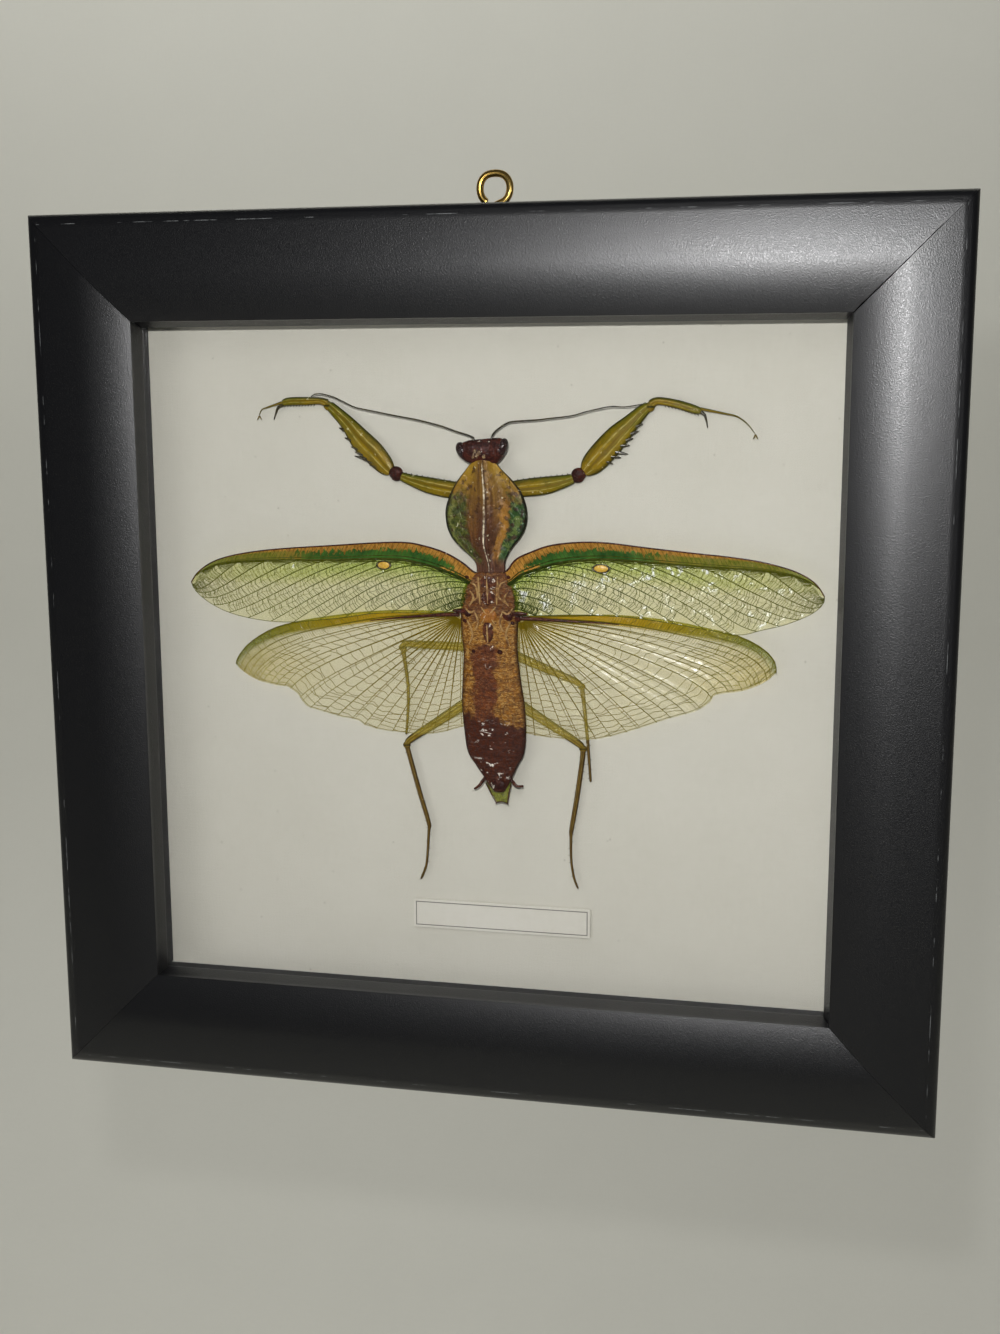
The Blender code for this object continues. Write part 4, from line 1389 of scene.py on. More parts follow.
# Wings, each edge from the body to the tip
FOREWING_LEFT_LEAD = [
    (-1.7, 19.4), (-3.8, 21.1), (-7.3, 23.0), (-11.8, 24.4), (-15.8, 25.0), (-22.2, 24.8),
    (-31.4, 24.1), (-40.7, 23.4), (-47.8, 22.6), (-53.5, 21.5), (-57.4, 20.1), (-60.4, 18.0),
    (-61.9, 15.9),
]
FOREWING_LEFT_REAR = [
    (-4.3, 11.3), (-8.8, 10.8), (-15.6, 10.6), (-22.5, 10.3), (-29.4, 9.2), (-36.5, 8.4),
    (-41.2, 8.0), (-45.9, 8.2), (-50.6, 8.9), (-54.9, 10.1), (-58.7, 12.1), (-61.2, 14.3),
]
FOREWING_RIGHT_LEAD = [
    (5.2, 19.7), (7.0, 22.0), (10.3, 23.6), (14.0, 24.9), (19.5, 25.6), (25.0, 25.6), (31.7, 24.9),
    (40.7, 24.0), (49.6, 23.2), (56.2, 22.2), (61.8, 20.6), (65.4, 18.5), (67.2, 16.0),
]
FOREWING_RIGHT_REAR = [
    (7.6, 10.7), (10.8, 10.7), (20.5, 11.1), (31.9, 10.7), (45.4, 8.8), (51.2, 8.0), (55.6, 9.1),
    (60.0, 10.3), (64.7, 12.4), (67.0, 14.5),
]

HINDWING_LEFT_HINGE = (-4.3, 10.4)
HINDWING_LEFT_LEAD = [
    (-4.3, 10.6), (-8.9, 11.0), (-18.0, 11.0), (-24.9, 10.5), (-31.9, 9.5), (-39.0, 8.2),
    (-44.7, 6.5), (-49.6, 3.6), (-52.3, 0.7), (-53.0, -1.1),
]
HINDWING_LEFT_REAR = [
    (-53.0, -1.1), (-51.7, -2.5), (-48.4, -4.4), (-44.1, -5.4), (-41.7, -5.7), (-39.6, -7.1),
    (-37.6, -9.6), (-34.3, -10.6), (-30.1, -11.6), (-26.8, -12.1), (-24.9, -13.2), (-21.6, -14.0),
    (-17.9, -14.3), (-13.8, -14.6), (-9.2, -14.1), (-4.9, -12.8),
]
HINDWING_RIGHT_HINGE = (7.5, 10.0)
HINDWING_RIGHT_LEAD = [
    (7.5, 10.2), (11.6, 10.5), (18.1, 10.9), (25.0, 11.2), (31.8, 11.0), (38.6, 10.3), (45.4, 9.1),
    (50.7, 7.9), (54.3, 6.4), (57.0, 4.5), (58.4, 2.5), (58.5, 0.7),
]
HINDWING_RIGHT_REAR = [
    (58.5, 0.7), (56.3, -1.2), (52.3, -3.0), (47.0, -4.1), (45.7, -5.7), (43.0, -7.5), (37.6, -9.3),
    (31.2, -11.7), (25.2, -13.6), (20.5, -14.3), (13.5, -14.1), (9.7, -13.6),
]

# Legs, as (x, z, width, depth) from the body to the last joint
FORELEG_LEFT = [
    (-3.6, 35.2, 3.0, 1.1), (-7.4, 35.6, 3.4, 1.2), (-11.6, 36.4, 3.1, 1.2), (-15.4, 37.5, 2.1, 1.1),
    (-17.2, 38.2, 1.7, 1.1), (-18.8, 38.7, 2.3, 1.2), (-20.1, 40.0, 3.6, 1.3), (-22.5, 42.6, 4.5, 1.3),
    (-25.1, 45.1, 4.4, 1.3), (-28.0, 48.6, 3.0, 1.3), (-30.7, 51.2, 2.2, 1.2), (-32.0, 52.4, 1.8, 1.2),
    (-33.6, 53.0, 1.4, 1.1), (-37.0, 53.0, 1.6, 1.1), (-40.4, 52.9, 1.6, 1.1), (-41.8, 52.5, 1.1, 0.9),
]
FORELEG_RIGHT = [
    (5.0, 35.6, 3.0, 1.1), (8.4, 36.0, 3.4, 1.2), (12.6, 36.5, 3.4, 1.2), (16.5, 37.4, 2.4, 1.1),
    (18.3, 38.0, 1.8, 1.1), (20.1, 38.8, 2.4, 1.2), (21.6, 40.5, 4.1, 1.3), (24.1, 43.2, 4.8, 1.3),
    (26.8, 46.2, 4.4, 1.3), (29.3, 48.7, 3.3, 1.3), (31.6, 51.0, 2.4, 1.2), (33.0, 52.1, 1.8, 1.2),
    (34.6, 52.9, 1.5, 1.1), (38.3, 52.3, 1.6, 1.1), (41.6, 51.3, 1.6, 1.1), (43.0, 50.9, 1.1, 0.9),
]
FORELEG_TARSUS_LEFT = [(-41.2, 52.9), (-45.4, 51.6), (-46.4, 51.0), (-46.7, 50.1)]
FORELEG_TARSUS_RIGHT = [(42.4, 51.5), (49.2, 50.1), (51.1, 49.2), (53.3, 46.6)]
FORELEG_CLAW_LEFT = [(-41.4, 52.4), (-42.6, 51.7), (-43.1, 50.6), (-43.6, 49.2)]
FORELEG_CLAW_RIGHT = [(42.6, 50.9), (43.5, 50.3), (43.9, 49.2), (44.2, 47.7)]
# Spines along the femur, as (base x, base z, tip x, tip z)
FORELEG_SPINES_LEFT = [
    (-28.6, 47.2, -29.8, 47.7), (-27.0, 45.2, -28.7, 45.7), (-25.6, 43.5, -27.4, 43.9),
    (-24.6, 42.3, -26.6, 42.9), (-23.8, 41.4, -26.7, 42.1), (-22.6, 40.8, -24.9, 41.3),
    (-21.6, 39.9, -23.6, 40.3),
]
FORELEG_SPINES_RIGHT = [
    (30.2, 48.0, 31.8, 48.6), (29.3, 46.6, 31.0, 47.2), (28.3, 45.4, 29.9, 45.8),
    (27.2, 44.4, 29.3, 44.4), (26.2, 43.2, 29.0, 42.7), (25.4, 42.3, 27.6, 42.0),
    (24.4, 41.4, 26.0, 40.8),
]

MIDLEG_LEFT = [
    (-0.5, 3.6, 1.7, 1.1), (-6.0, 3.8, 1.7, 1.1), (-12.0, 3.9, 1.6, 1.0), (-16.3, 4.0, 1.4, 1.0),
    (-17.1, 3.2, 1.2, 0.9), (-16.7, 0.5, 0.8, 0.7), (-16.1, -4.5, 0.7, 0.7), (-16.1, -9.0, 0.6, 0.6),
    (-16.6, -15.1, 0.5, 0.5),
]
MIDLEG_RIGHT = [
    (3.9, 3.4, 1.9, 1.1), (9.0, 1.3, 1.8, 1.1), (14.0, -0.7, 1.6, 1.0), (18.8, -2.6, 1.3, 1.0),
    (20.0, -3.6, 1.1, 0.9), (20.4, -6.2, 0.8, 0.7), (21.0, -11.5, 0.7, 0.7), (21.5, -17.0, 0.6, 0.6),
    (22.0, -23.3, 0.5, 0.5),
]
HINDLEG_LEFT = [
    (0.4, -5.0, 2.1, 1.1), (-4.9, -8.6, 2.1, 1.1), (-10.0, -12.1, 1.8, 1.1), (-15.6, -15.9, 1.4, 1.0),
    (-16.5, -17.2, 1.1, 0.9), (-15.9, -19.6, 1.0, 0.8), (-13.9, -27.0, 1.0, 0.8), (-12.0, -33.6, 0.9, 0.8),
    (-12.0, -35.4, 0.6, 0.6), (-12.5, -42.0, 0.5, 0.5), (-13.2, -44.5, 0.5, 0.5), (-13.9, -46.0, 0.4, 0.4),
]
HINDLEG_RIGHT = [
    (4.2, -5.6, 2.0, 1.1), (8.7, -8.6, 2.0, 1.1), (14.0, -11.9, 1.7, 1.1), (19.3, -15.2, 1.4, 1.0),
    (20.4, -16.4, 1.1, 0.9), (20.2, -19.0, 1.0, 0.8), (19.2, -26.6, 1.0, 0.8), (18.1, -33.4, 0.9, 0.8),
    (18.0, -35.2, 0.6, 0.6), (18.1, -40.0, 0.5, 0.5), (18.7, -43.6, 0.5, 0.5), (19.6, -46.0, 0.4, 0.4),
]

ANTENNA_LEFT = [
    (-1.9, 46.0), (-5.3, 47.1), (-8.2, 48.1), (-13.0, 49.3), (-17.4, 50.1), (-22.6, 51.1),
    (-25.9, 51.8), (-28.1, 52.8), (-30.3, 53.8), (-32.6, 54.4), (-34.1, 54.4), (-35.0, 53.9),
]
ANTENNA_RIGHT = [
    (2.2, 46.3), (3.2, 47.4), (5.0, 48.6), (6.5, 49.0), (11.1, 49.3), (13.7, 49.6), (17.9, 50.1),
    (20.9, 50.9), (23.1, 51.4), (25.8, 51.9), (28.4, 51.8), (31.7, 52.3),
]


# Yellow spot of each forewing, as (x, z, half width)
YELLOW_SPOTS = {Side.LEFT: (-20.2, 20.3, 1.3), Side.RIGHT: (24.1, 20.5, 1.5)}
FOREWING_VEIN_RADIUS = 0.1
HINDWING_VEIN_RADIUS = 0.095


class Wing:
    """What both kinds of wing share: rows of vein on the wing's surface."""

    lift: float = 0.06

    def spot(self, u: float, v: float, proud: float = 0.0) -> Point:
        """Return a place on the wing; each kind of wing has its own."""
        raise NotImplementedError

    def row(self, paths: list[list[Point]], spots: Sequence[tuple[float, float]], share: float,
            fade: float = 0.4) -> None:
        """Add one vein, which thins towards its end."""
        last = len(spots) - 1
        paths.append([(*self.spot(u, v, self.lift), share * (1 - fade * i / last)) for i, (u, v) in enumerate(spots)])


@dataclass
class Forewing(Wing):
    """A leathery forewing with its raised veins and fine net."""

    side: Side
    lead: Sequence[Point]
    rear: Sequence[Point]
    y: float = -10.75
    rungs: int = 52
    branches: Sequence[Point] = (
        (0.0, 0.08, 0.82), (0.0, 0.13, 0.66), (0.0, 0.19, 0.52), (0.0, 0.26, 0.4), (0.0, 0.34, 0.3), (0.03, 0.42, 0.0),
        (0.09, 0.51, 0.0), (0.16, 0.6, 0.0), (0.24, 0.68, 0.0), (0.32, 0.76, 0.0), (0.41, 0.83, 0.0), (0.5, 0.89, 0.0),
        (0.6, 0.94, 0.0), (0.7, 0.97, 0.0), (0.8, 0.99, 0.0))
    edges: list[list[Point]] = field(default_factory=list)

    def __post_init__(self) -> None:
        """Sample both edges out to the same tip."""
        inward = 1.4 if self.side is Side.LEFT else -1.6
        roots = [(points[0][0] + inward, points[0][1] - 0.5) for points in (self.lead, self.rear)]
        self.edges = [resample([roots[0], *self.lead], 121), resample([roots[1], *self.rear, self.lead[-1]], 121)]

    def spot(self, u: float, v: float, proud: float = 0.0) -> Point:
        """Return a place on the wing, with a gentle sag between its veins.

        Args:
            u: The share along the wing.
            v: The share across it.
            proud: How far off the wing.

        Returns:
            The place.
        """
        first, second = along(self.edges[0], u), along(self.edges[1], u)
        x, z = (a + (b - a) * v for a, b in zip(first, second))
        return x, self.y - proud + 0.08 * hills(x, z, 4.0) + 0.1 * v, z

    @staticmethod
    def radial(u: float) -> float:
        """Return how far across the wing the main straight vein runs."""
        return 0.28 - 0.19 * min(1.0, max(0.0, (u - 0.1) / 0.85))

    def branch(self, pair: Point, t: float) -> tuple[float, float]:
        """Return (u, v) at a share of one slanting branch vein.

        Args:
            pair: The start and end of the vein and where it begins across.
            t: How far along the vein, from 0 to 1.

        Returns:
            The place as (u, v).
        """
        u = pair[0] + (pair[1] - pair[0]) * t
        start = max(self.radial(u), pair[2])
        return u, start + (0.995 - start) * t ** 1.3

    def build_veins(self) -> bpy.types.Object:
        """Draw the edge, the straight veins, the slanting branches and the net between them.

        Returns:
            The veins as one mesh.
        """
        draw = random.Random(self.side.value)
        paths = []
        for scale, share in ((1.0, 3.0), (0.8, 1.1), (1.16, 1.1)):
            self.row(paths, [(u / 60, self.radial(u / 60) * scale) for u in range(1, 59)], share, 0.55)
        self.row(paths, [(u / 60, 0.995) for u in range(1, 61)], 0.9)
        for pair in self.branches:
            self.row(paths, [self.branch(pair, t / 24) for t in range(25)], 1.15, 0.35)
        fans = [*self.branches, (0.88, 0.997, 0.0), (0.94, 1.0, 0.0)]
        for first, second in zip(fans, fans[1:]):
            middle = []
            facing = [self.branch(second, k / 80) for k in range(81)]
            places = [self.spot(*pair) for pair in facing]
            for i in range(1, self.rungs):
                start = self.branch(first, (i + draw.uniform(-0.3, 0.3)) / self.rungs)
                here = self.spot(*start)
                nearest = min(range(81), key=lambda k: math.dist(places[k], here))
                ends = [start, facing[min(80, max(0, nearest + draw.randint(-1, 1)))]]
                if min(ends[0][0], ends[1][0]) < 0.012 or max(ends[0][0], ends[1][0]) > 0.998:
                    continue
                gap = math.dist(self.spot(*ends[0]), self.spot(*ends[1]))
                if gap < 0.35:
                    continue
                half = draw.uniform(0.38, 0.62)
                knee = tuple(a + (b - a) * half for a, b in zip(*ends))
                knee = (min(0.995, knee[0] + draw.uniform(0.0, 0.012)), knee[1])
                middle.append(knee)
                self.row(paths, [ends[0], knee, ends[1]], 0.54, 0.1)
            if len(middle) > 4:
                self.row(paths, middle, 0.46, 0.1)
        for i in range(70):
            u = 0.04 + 0.88 * i / 70
            self.row(paths, [(u, self.radial(u) * 0.1), (u + 0.012, self.radial(u) * 0.8)], 0.35, 0.1)
        return tubes(paths, FOREWING_VEIN_RADIUS)

    def build(self, finishes: Finishes) -> None:
        """Build the membrane, the veins, the dark edge and the yellow spot.

        Args:
            finishes: All finishes.
        """
        node = "forewing_" + self.side.value
        sheet = mapped_grid(96, 30, self.spot, faces_front=True, thickness=0.12)
        finish_piece(sheet, node + "_membrane", finishes[node], [node])
        veins = finish_piece(self.build_veins(), node + "_veins", finishes["green_vein"], [node])
        veins.visible_shadow = sheet.visible_shadow = False
        rim = [(*self.spot(u / 80, 0.004, 0.0), 1.0 - 0.35 * u / 80) for u in range(1, 81)]
        finish_piece(tubes([rim], 0.2, 1), node + "_edge", finishes["maroon_edge"], [node])
        x, z, width = YELLOW_SPOTS[self.side]
        spot = ball((x, self.y - 0.1, z), (width, 0.2, 0.72), 0.06)
        finish_piece(spot, node + "_spot", finishes["yellow_spot"], [node])
        ring = [(x + (width + 0.1) * math.cos(turn), self.y - 0.14, z + 0.8 * math.sin(turn),
                 1.0 + 0.8 * abs(math.cos(turn)) ** 4) for turn in (t * math.pi / 12 for t in range(25))]
        finish_piece(tubes([ring], 0.14, 1), node + "_spot_rim", finishes["dark_thread"], [node])


@dataclass
class Hindwing(Wing):
    """A clear pleated hindwing that opens as a fan from its hinge."""

    side: Side
    hinge: Point
    lead: Sequence[Point]
    rear: Sequence[Point]
    y: float = -9.85
    lift: float = 0.12
    folds: int = 22
    ends: list[Point] = field(default_factory=list)
    front: list[Point] = field(default_factory=list)

    def __post_init__(self) -> None:
        """Sample the margin and the leading edge."""
        inner = self.hinge[0] * 0.55 + 0.6, self.rear[-1][1] + 0.8
        self.ends, self.front = resample([*self.rear, inner], 161), resample(self.lead, 81)

    def spot(self, u: float, v: float, proud: float = 0.0) -> Point:
        """Return a place on the wing: u from hinge to margin, v from the leading edge round.

        Args:
            u: The share along the wing.
            v: The share across it.
            proud: How far off the wing.

        Returns:
            The place.
        """
        end, on_lead = along(self.ends, v), along(self.front, u)
        stiff = (1 - v) ** 4
        straight = [self.hinge[k] + (self.lead[-1][k] - self.hinge[k]) * u for k in (0, 1)]
        x, z = (self.hinge[k] + (end[k] - self.hinge[k]) * u + (on_lead[k] - straight[k]) * stiff for k in (0, 1))
        pleat = 0.1 * u * math.cos(2 * math.pi * self.folds * v)
        return x, self.y - proud + pleat * min(1.0, v * 6) + 0.06 * hills(x, z, 3.0), z

    def build_veins(self) -> bpy.types.Object:
        """Draw the fan veins and the ladders between them.

        Returns:
            The veins as one mesh.
        """
        draw = random.Random("hind" + self.side.value)
        paths = []
        fans = sorted({0.0, 0.045, 0.085, 0.13, 0.18, *(0.24 + 0.76 * i / 14 for i in range(15))})
        for index, v in enumerate(fans):
            bend = draw.uniform(-0.006, 0.006)
            self.row(paths, [(0.03 + 0.97 * i / 24, min(1.0, max(0.0, v + bend * math.sin(i / 6)))) for i in range(25)],
                     1.6 if index % 4 == 1 else 1.25, 0.5)
            if index % 4 == 2:
                self.row(paths, [(0.12 + 0.88 * i / 24, v + 0.012) for i in range(25)], 0.8, 0.4)
        for v in (0.022, 0.065, 0.107, 0.155, 0.21):
            self.row(paths, [(0.7 + 0.3 * i / 8, v + 0.004 * math.sin(i)) for i in range(9)], 0.8, 0.3)
        for first, second in zip(fans, fans[1:]):
            u = (0.16 if second > 0.09 else 0.4) + draw.uniform(0, 0.04)
            while u < 0.985:
                slip = draw.uniform(-0.022, 0.022)
                knee = draw.uniform(-0.01, 0.014)
                middle = (min(0.99, u + slip / 2 + knee), (first + second) / 2)
                self.row(paths, [(u, first), middle, (min(0.99, u + slip), second)], 0.62, 0.1)
                u += draw.uniform(0.036, 0.07) if u < 0.8 else draw.uniform(0.022, 0.038)
        self.row(paths, [(0.99, i / 100) for i in range(101)], 0.7, 0.2)
        for i in range(60):
            u = 0.35 + 0.64 * i / 60
            self.row(paths, [(u, 0.0), (u + 0.01, 0.05 + 0.04 * u)], 0.4, 0.1)
        return tubes(paths, HINDWING_VEIN_RADIUS)

    def build(self, finishes: Finishes) -> None:
        """Build the membrane, the veins and the dark root vein.

        Args:
            finishes: All finishes.
        """
        node = "hindwing_" + self.side.value
        sheet = mapped_grid(48, self.folds * 8, lambda u, v: self.spot(0.02 + 0.98 * u, v), faces_front=True,
                            thickness=0.06)
        finish_piece(sheet, node + "_membrane", finishes["hindwing"], [node])
        veins = finish_piece(self.build_veins(), node + "_veins", finishes["olive_vein"], [node])
        veins.visible_shadow = sheet.visible_shadow = False
        root = [(*self.spot(0.01 + i * 0.02, 0.075 - 0.001 * i, 0.22), 2.3 - 0.1 * i) for i in range(20)]
        rim = [(*self.spot(0.03 + 0.97 * i / 60, 0.002, 0.05), 1.3 - 0.7 * i / 60) for i in range(61)]
        finish_piece(tubes([root], 0.2, 1), node + "_root_vein", finishes["maroon_edge"], [node])
        finish_piece(tubes([rim], 0.16, 1), node + "_edge", finishes["olive_vein"], [node])


@dataclass
class Foreleg:
    """A grasping foreleg: coxa, trochanter, femur, tibia, claw, foot and spines."""

    side: Side
    stations: Sequence[Point]
    tarsus: Sequence[Point]
    claw: Sequence[Point]
    spines: Sequence[Point]
    y: float = -8.6

    def build(self, finishes: Finishes) -> None:
        """Build each part of the leg.

        Args:
            finishes: All finishes.
        """
        node = "foreleg_" + self.side.value
        rows = self.stations
        parts = {"coxa": (rows[:5], 60, 0.03), "femur": ([(*rows[5][:2], 1.7, 1.1), *rows[6:12]], 90, 0.03),
                 "tibia": (rows[11:], 60, 0.05)}
        for part, (row, columns, cap) in parts.items():
            made = limb(row, self.y, columns, ridges=0.035, cap=cap, around=36)
            finish_piece(made, f"{node}_{part}", finishes["foreleg"], [node])
        x, z = (rows[4][0] + rows[5][0]) / 2, (rows[4][1] + rows[5][1]) / 2 + 0.35
        knots = [ball((x, self.y - 0.15, z), (1.5, 0.85, 1.3)),
                 ball((x - math.copysign(0.2, x), self.y - 0.1, z - 0.9), (1.2, 0.6, 0.8))]
        finish_piece(join(knots), node + "_trochanter", finishes["dark_head"], [node])
        knee = ball((rows[11][0], self.y, rows[11][1] - 0.3), (0.95, 0.66, 0.95))
        finish_piece(knee, node + "_knee", finishes["foreleg"], [node])
        foot = [limb([(x, z, 0.62 - 0.1 * i, 0.5) for i, (x, z) in enumerate(resample(self.tarsus, 6))], self.y, 40,
                     ridges=0.0, cap=0.04, around=12)]
        hook = self.tarsus[-1]
        foot += [limb([(hook[0], hook[1], 0.3, 0.3), (hook[0] + dx, hook[1] - 0.7, 0.2, 0.2),
                       (hook[0] + dx * 1.5, hook[1] - 0.9, 0.08, 0.08)], self.y + dy, 12, 0.0, 0.1, 8)
                 for dx, dy in ((0.35, 0.12), (-0.3, -0.12))]
        finish_piece(join(foot), node + "_foot", finishes["foreleg"], [node])
        claw = [limb([(x, z, 0.8 - 0.2 * i, 0.6 - 0.13 * i) for i, (x, z) in enumerate(self.claw)], self.y, 30, 0.0,
                     0.04, 12)]
        thorns = []
        for base_x, base_z, tip_x, tip_z in self.spines:
            middle = ((base_x + tip_x) / 2, (base_z + tip_z) / 2)
            thorns.append(limb([(base_x, base_z, 1.05, 0.8), (*middle, 0.58, 0.5), (tip_x, tip_z, 0.14, 0.12)],
                               self.y - 0.1, 12, 0.0, 0.06, 10))
        draw = random.Random(node)
        row = resample(rows[:5], 61)
        for i in range(4, 56, 5):
            x, z, width, _ = row[i]
            top = z + width / 2
            lean = draw.uniform(-0.15, 0.15)
            thorns.append(limb([(x, top - 0.1, 0.34, 0.34), (x + lean, top + 0.28, 0.1, 0.1)], self.y, 6, 0.0, 0.1, 8))
        row = resample(rows[12:], 41)
        for i in range(6, 38, 3):
            x, z, width, _ = row[i]
            low = z - width / 2
            tip = (x + math.copysign(0.25, rows[15][0]), low - 0.35, 0.08, 0.08)
            thorns.append(limb([(x, low + 0.12, 0.26, 0.26), tip], self.y, 6, 0.0, 0.1, 8))
        finish_piece(join(claw + thorns), node + "_spines", finishes["dark_thread"], [node])


@dataclass
class WalkingLeg:
    """A thin walking leg, as wide and deep at each station as the row says."""

    name: str
    stations: Sequence[Point]
    knee: int = 4
    y: float = -8.6

    def build(self, finishes: Finishes) -> None:
        """Build the femur, the knee, the tibia and small hairs along it.

        Args:
            finishes: All finishes.
        """
        rows = self.stations
        upper = limb(rows[:self.knee + 1], self.y, 50, 0.05, 0.03, 24)
        lower = limb(rows[self.knee:], self.y, 80, 0.03, 0.015, 16)
        x, z, width, depth = rows[self.knee]
        joint = ball((x, self.y, z), (width * 0.72, depth * 0.6, width * 0.66))
        hairs = []
        draw = random.Random(self.name)
        row = resample(rows[self.knee:], 81)
        for i in range(4, 78, 4):
            x, z, width, _ = row[i]
            side = draw.choice((-1, 1))
            tip = (x + side * (width / 2 + 0.3), z - 0.3, 0.06, 0.06)
            hairs.append(limb([(x, z, 0.14, 0.14), tip], self.y, 5, 0.0, 0.1, 6))
        finish_piece(join([upper, joint]), self.name + "_femur", finishes["walking_leg"], [self.name])
        finish_piece(join([lower, *hairs]), self.name + "_tibia", finishes["walking_leg_dark"],
                     [self.name])


@dataclass
class Trunk:
    """Head, shield, thorax and abdomen."""

    head_y: float = -10.0
    lobe_y: float = -10.3
    body_y: float = -10.275
    half_depth: float = 1.025

    def build_head(self, finishes: Finishes) -> None:
        """Build the head, its eyes and the pale face patch.

        Args:
            finishes: All finishes.
        """
        row = [curve_point(HEAD_SECTIONS, 8 * i / 80) for i in range(81)]

        def place(u: float, v: float) -> Point:
            """Return a place on the head.

            Args:
                u: The share along it.
                v: The share across it.

            Returns:
                The place.
            """
            x, low, high, half = along(row, u)
            size = rounded(u, 0.05)
            turn = 2 * math.pi * v
            bump = 1 + 0.05 * hills(x, high + v * 9, 0.7) * size
            return (x, self.head_y + max(0.0, half) * math.sin(turn) * size * bump,
                    (low + high) / 2 + (high - low) / 2 * math.cos(turn) * size)

        finish_piece(mapped_grid(72, 40, place), "mantis_head_shell", finishes["dark_head"],
                     ["mantis_head"])
        eyes = [ball((-3.9, self.head_y - 0.1, 43.35), (1.2, 1.25, 1.75), -0.5, 24, 32),
                ball((4.15, self.head_y - 0.1, 43.85), (1.1, 1.25, 2.0), 0.35, 24, 32)]
        finish_piece(join(eyes), "mantis_eyes", finishes["eye"], ["mantis_head"])
        draw = random.Random(7)
        face = [ball((-0.5 + draw.uniform(-1.2, 1.2), self.head_y - 1.15, 43.0 + draw.uniform(-1.0, 0.9)),
                     (draw.uniform(0.18, 0.4), 0.22, draw.uniform(0.18, 0.5)), draw.uniform(0, 3), 8, 12)
                for _ in range(11)]
        finish_piece(join(face), "mantis_face_patch", finishes["face"], ["mantis_head"])

    def build_shield(self, finishes: Finishes) -> None:
        """Build the shield with its narrow keel.

        Args:
            finishes: All finishes.
        """
        row = [curve_point(SHIELD_SECTIONS, 12 * i / 120) for i in range(121)]

        def place(u: float, v: float) -> Point:
            """Return a place on the domed shield and its keel.

            Args:
                u: The share along it.
                v: The share across it.

            Returns:
                The place.
            """
            z, left, right = along(row, u)
            t = 2 * v - 1
            centre, half = (left + right) / 2, (right - left) / 2
            x = centre + t * half
            arch = 0.9 * max(0.0, 1 - u * 6) * (1 - t * t)
            rise = (1 + math.cos(math.pi * min(1.0, abs(t) * half / 3.4))) / 2
            keel_x = 0.2 + (41.5 - z) * 1.5 / 22.3
            keel = 0.22 * math.exp(-((x - keel_x) / 0.28) ** 2)
            y = self.lobe_y - 1.0 * rise * (1 - 0.25 * t * t) - keel + 0.07 * hills(x, z, 1.3)
            rim = 0.35 * max(0.0, abs(t) - 0.93) / 0.07
            return x, y + rim, z + arch

        sheet = mapped_grid(110, 72, place, faces_front=True, thickness=0.35)
        finish_piece(sheet, "mantis_shield_shell", finishes["shield"], ["mantis_shield"])

    def build_body(self, finishes: Finishes) -> None:
        """Build the wrinkled trunk, its plates, tendons, end plate and cerci.

        Args:
            finishes: All finishes.
        """
        row = [curve_point(BODY_SECTIONS, 13 * i / 130) for i in range(131)]

        def place(u: float, v: float) -> Point:
            """Return a place on the trunk.

            Args:
                u: The share along it.
                v: The share across it.

            Returns:
                The place.
            """
            z, left, right = along(row, u)
            size = rounded(u, 0.02)
            centre, half = (left + right) / 2, (right - left) / 2 * size
            turn = 2 * math.pi * v
            x = centre + half * math.cos(turn)
            depth = self.half_depth * min(1.0, 0.35 + half / 5.0) * size
            belt = 0.05 * math.sin((z + 2) * 2 * math.pi / 3.1 + 0.8 * math.sin(x)) if z < 4 else 0.0
            middle = math.exp(-((x - 0.9 - max(0.0, -z) * 0.05) / 2.2) ** 2) if z < 5 else 0.0
            rough = 1 + (0.11 * hills(x, z, 0.5) + 0.1 * hills(x + 3, z, 1.3) + belt) * size
            y = self.body_y + depth * math.sin(turn) * (rough if math.sin(turn) < 0 else 1.0)
            return x, y - 0.12 * middle * size * (math.sin(turn) < 0), z

        finish_piece(mapped_grid(200, 72, place), "mantis_trunk", finishes["body"], ["mantis_body"])

        def front(x: float, z: float) -> float:
            """Return how far forward the skin of the trunk is.

            Args:
                x: The place across.
                z: Its height.

            Returns:
                The y of the skin, in millimetres.
            """
            shares = min(row, key=lambda item: abs(item[0] - z))
            centre, half = (shares[1] + shares[2]) / 2, (shares[2] - shares[1]) / 2
            return self.body_y - self.half_depth * math.sqrt(max(0.1, 1 - ((x - centre) / max(0.5, half)) ** 2)) - 0.02

        plates = [ball((x, front(x, z) + 0.15, z), (wide, 0.34, tall), 0.0, 16, 28)
                  for x, z, wide, tall in BACK_PLATES]
        finish_piece(join(plates), "mantis_back_plates", finishes["plate"], ["mantis_body"])
        gold = [ball((1.5, front(1.5, 10.6) + 0.1, 10.6), (1.7, 0.36, 1.5), 0.0, 16, 28)]
        finish_piece(join(gold), "mantis_scutellum", finishes["gold"], ["mantis_body"])
        cords = []
        for line in TENDONS:
            points = [curve_point(line, i * (len(line) - 1) / 14) for i in range(15)]
            cords.append([(x, front(x, z) - 0.02, z, 0.5 + math.sin(math.pi * i / 14))
                          for i, (x, z) in enumerate(points)])
        finish_piece(tubes(cords, 0.16, 2), "mantis_tendons", finishes["cream"], ["mantis_body"])
        dark = [ball((x, front(x, z) + 0.15, z), (size, 0.42, size * 0.8), 0.4, 12, 18) for x, z, size in DARK_KNOTS]
        for side, x, z in ((-1, -3.6, 11.3), (1, 6.9, 11.0)):
            stations = [(x + side * 2.6, z + 0.1, 0.5, 0.5), (x, z, 1.15, 1.1), (x - side * 1.8, z - 0.7, 0.5, 0.5)]
            dark.append(limb(stations, self.body_y - 0.2, 16, 0.08, 0.1, 14))
        finish_piece(join(dark), "mantis_dark_knots", finishes["dark_head"], ["mantis_body"])

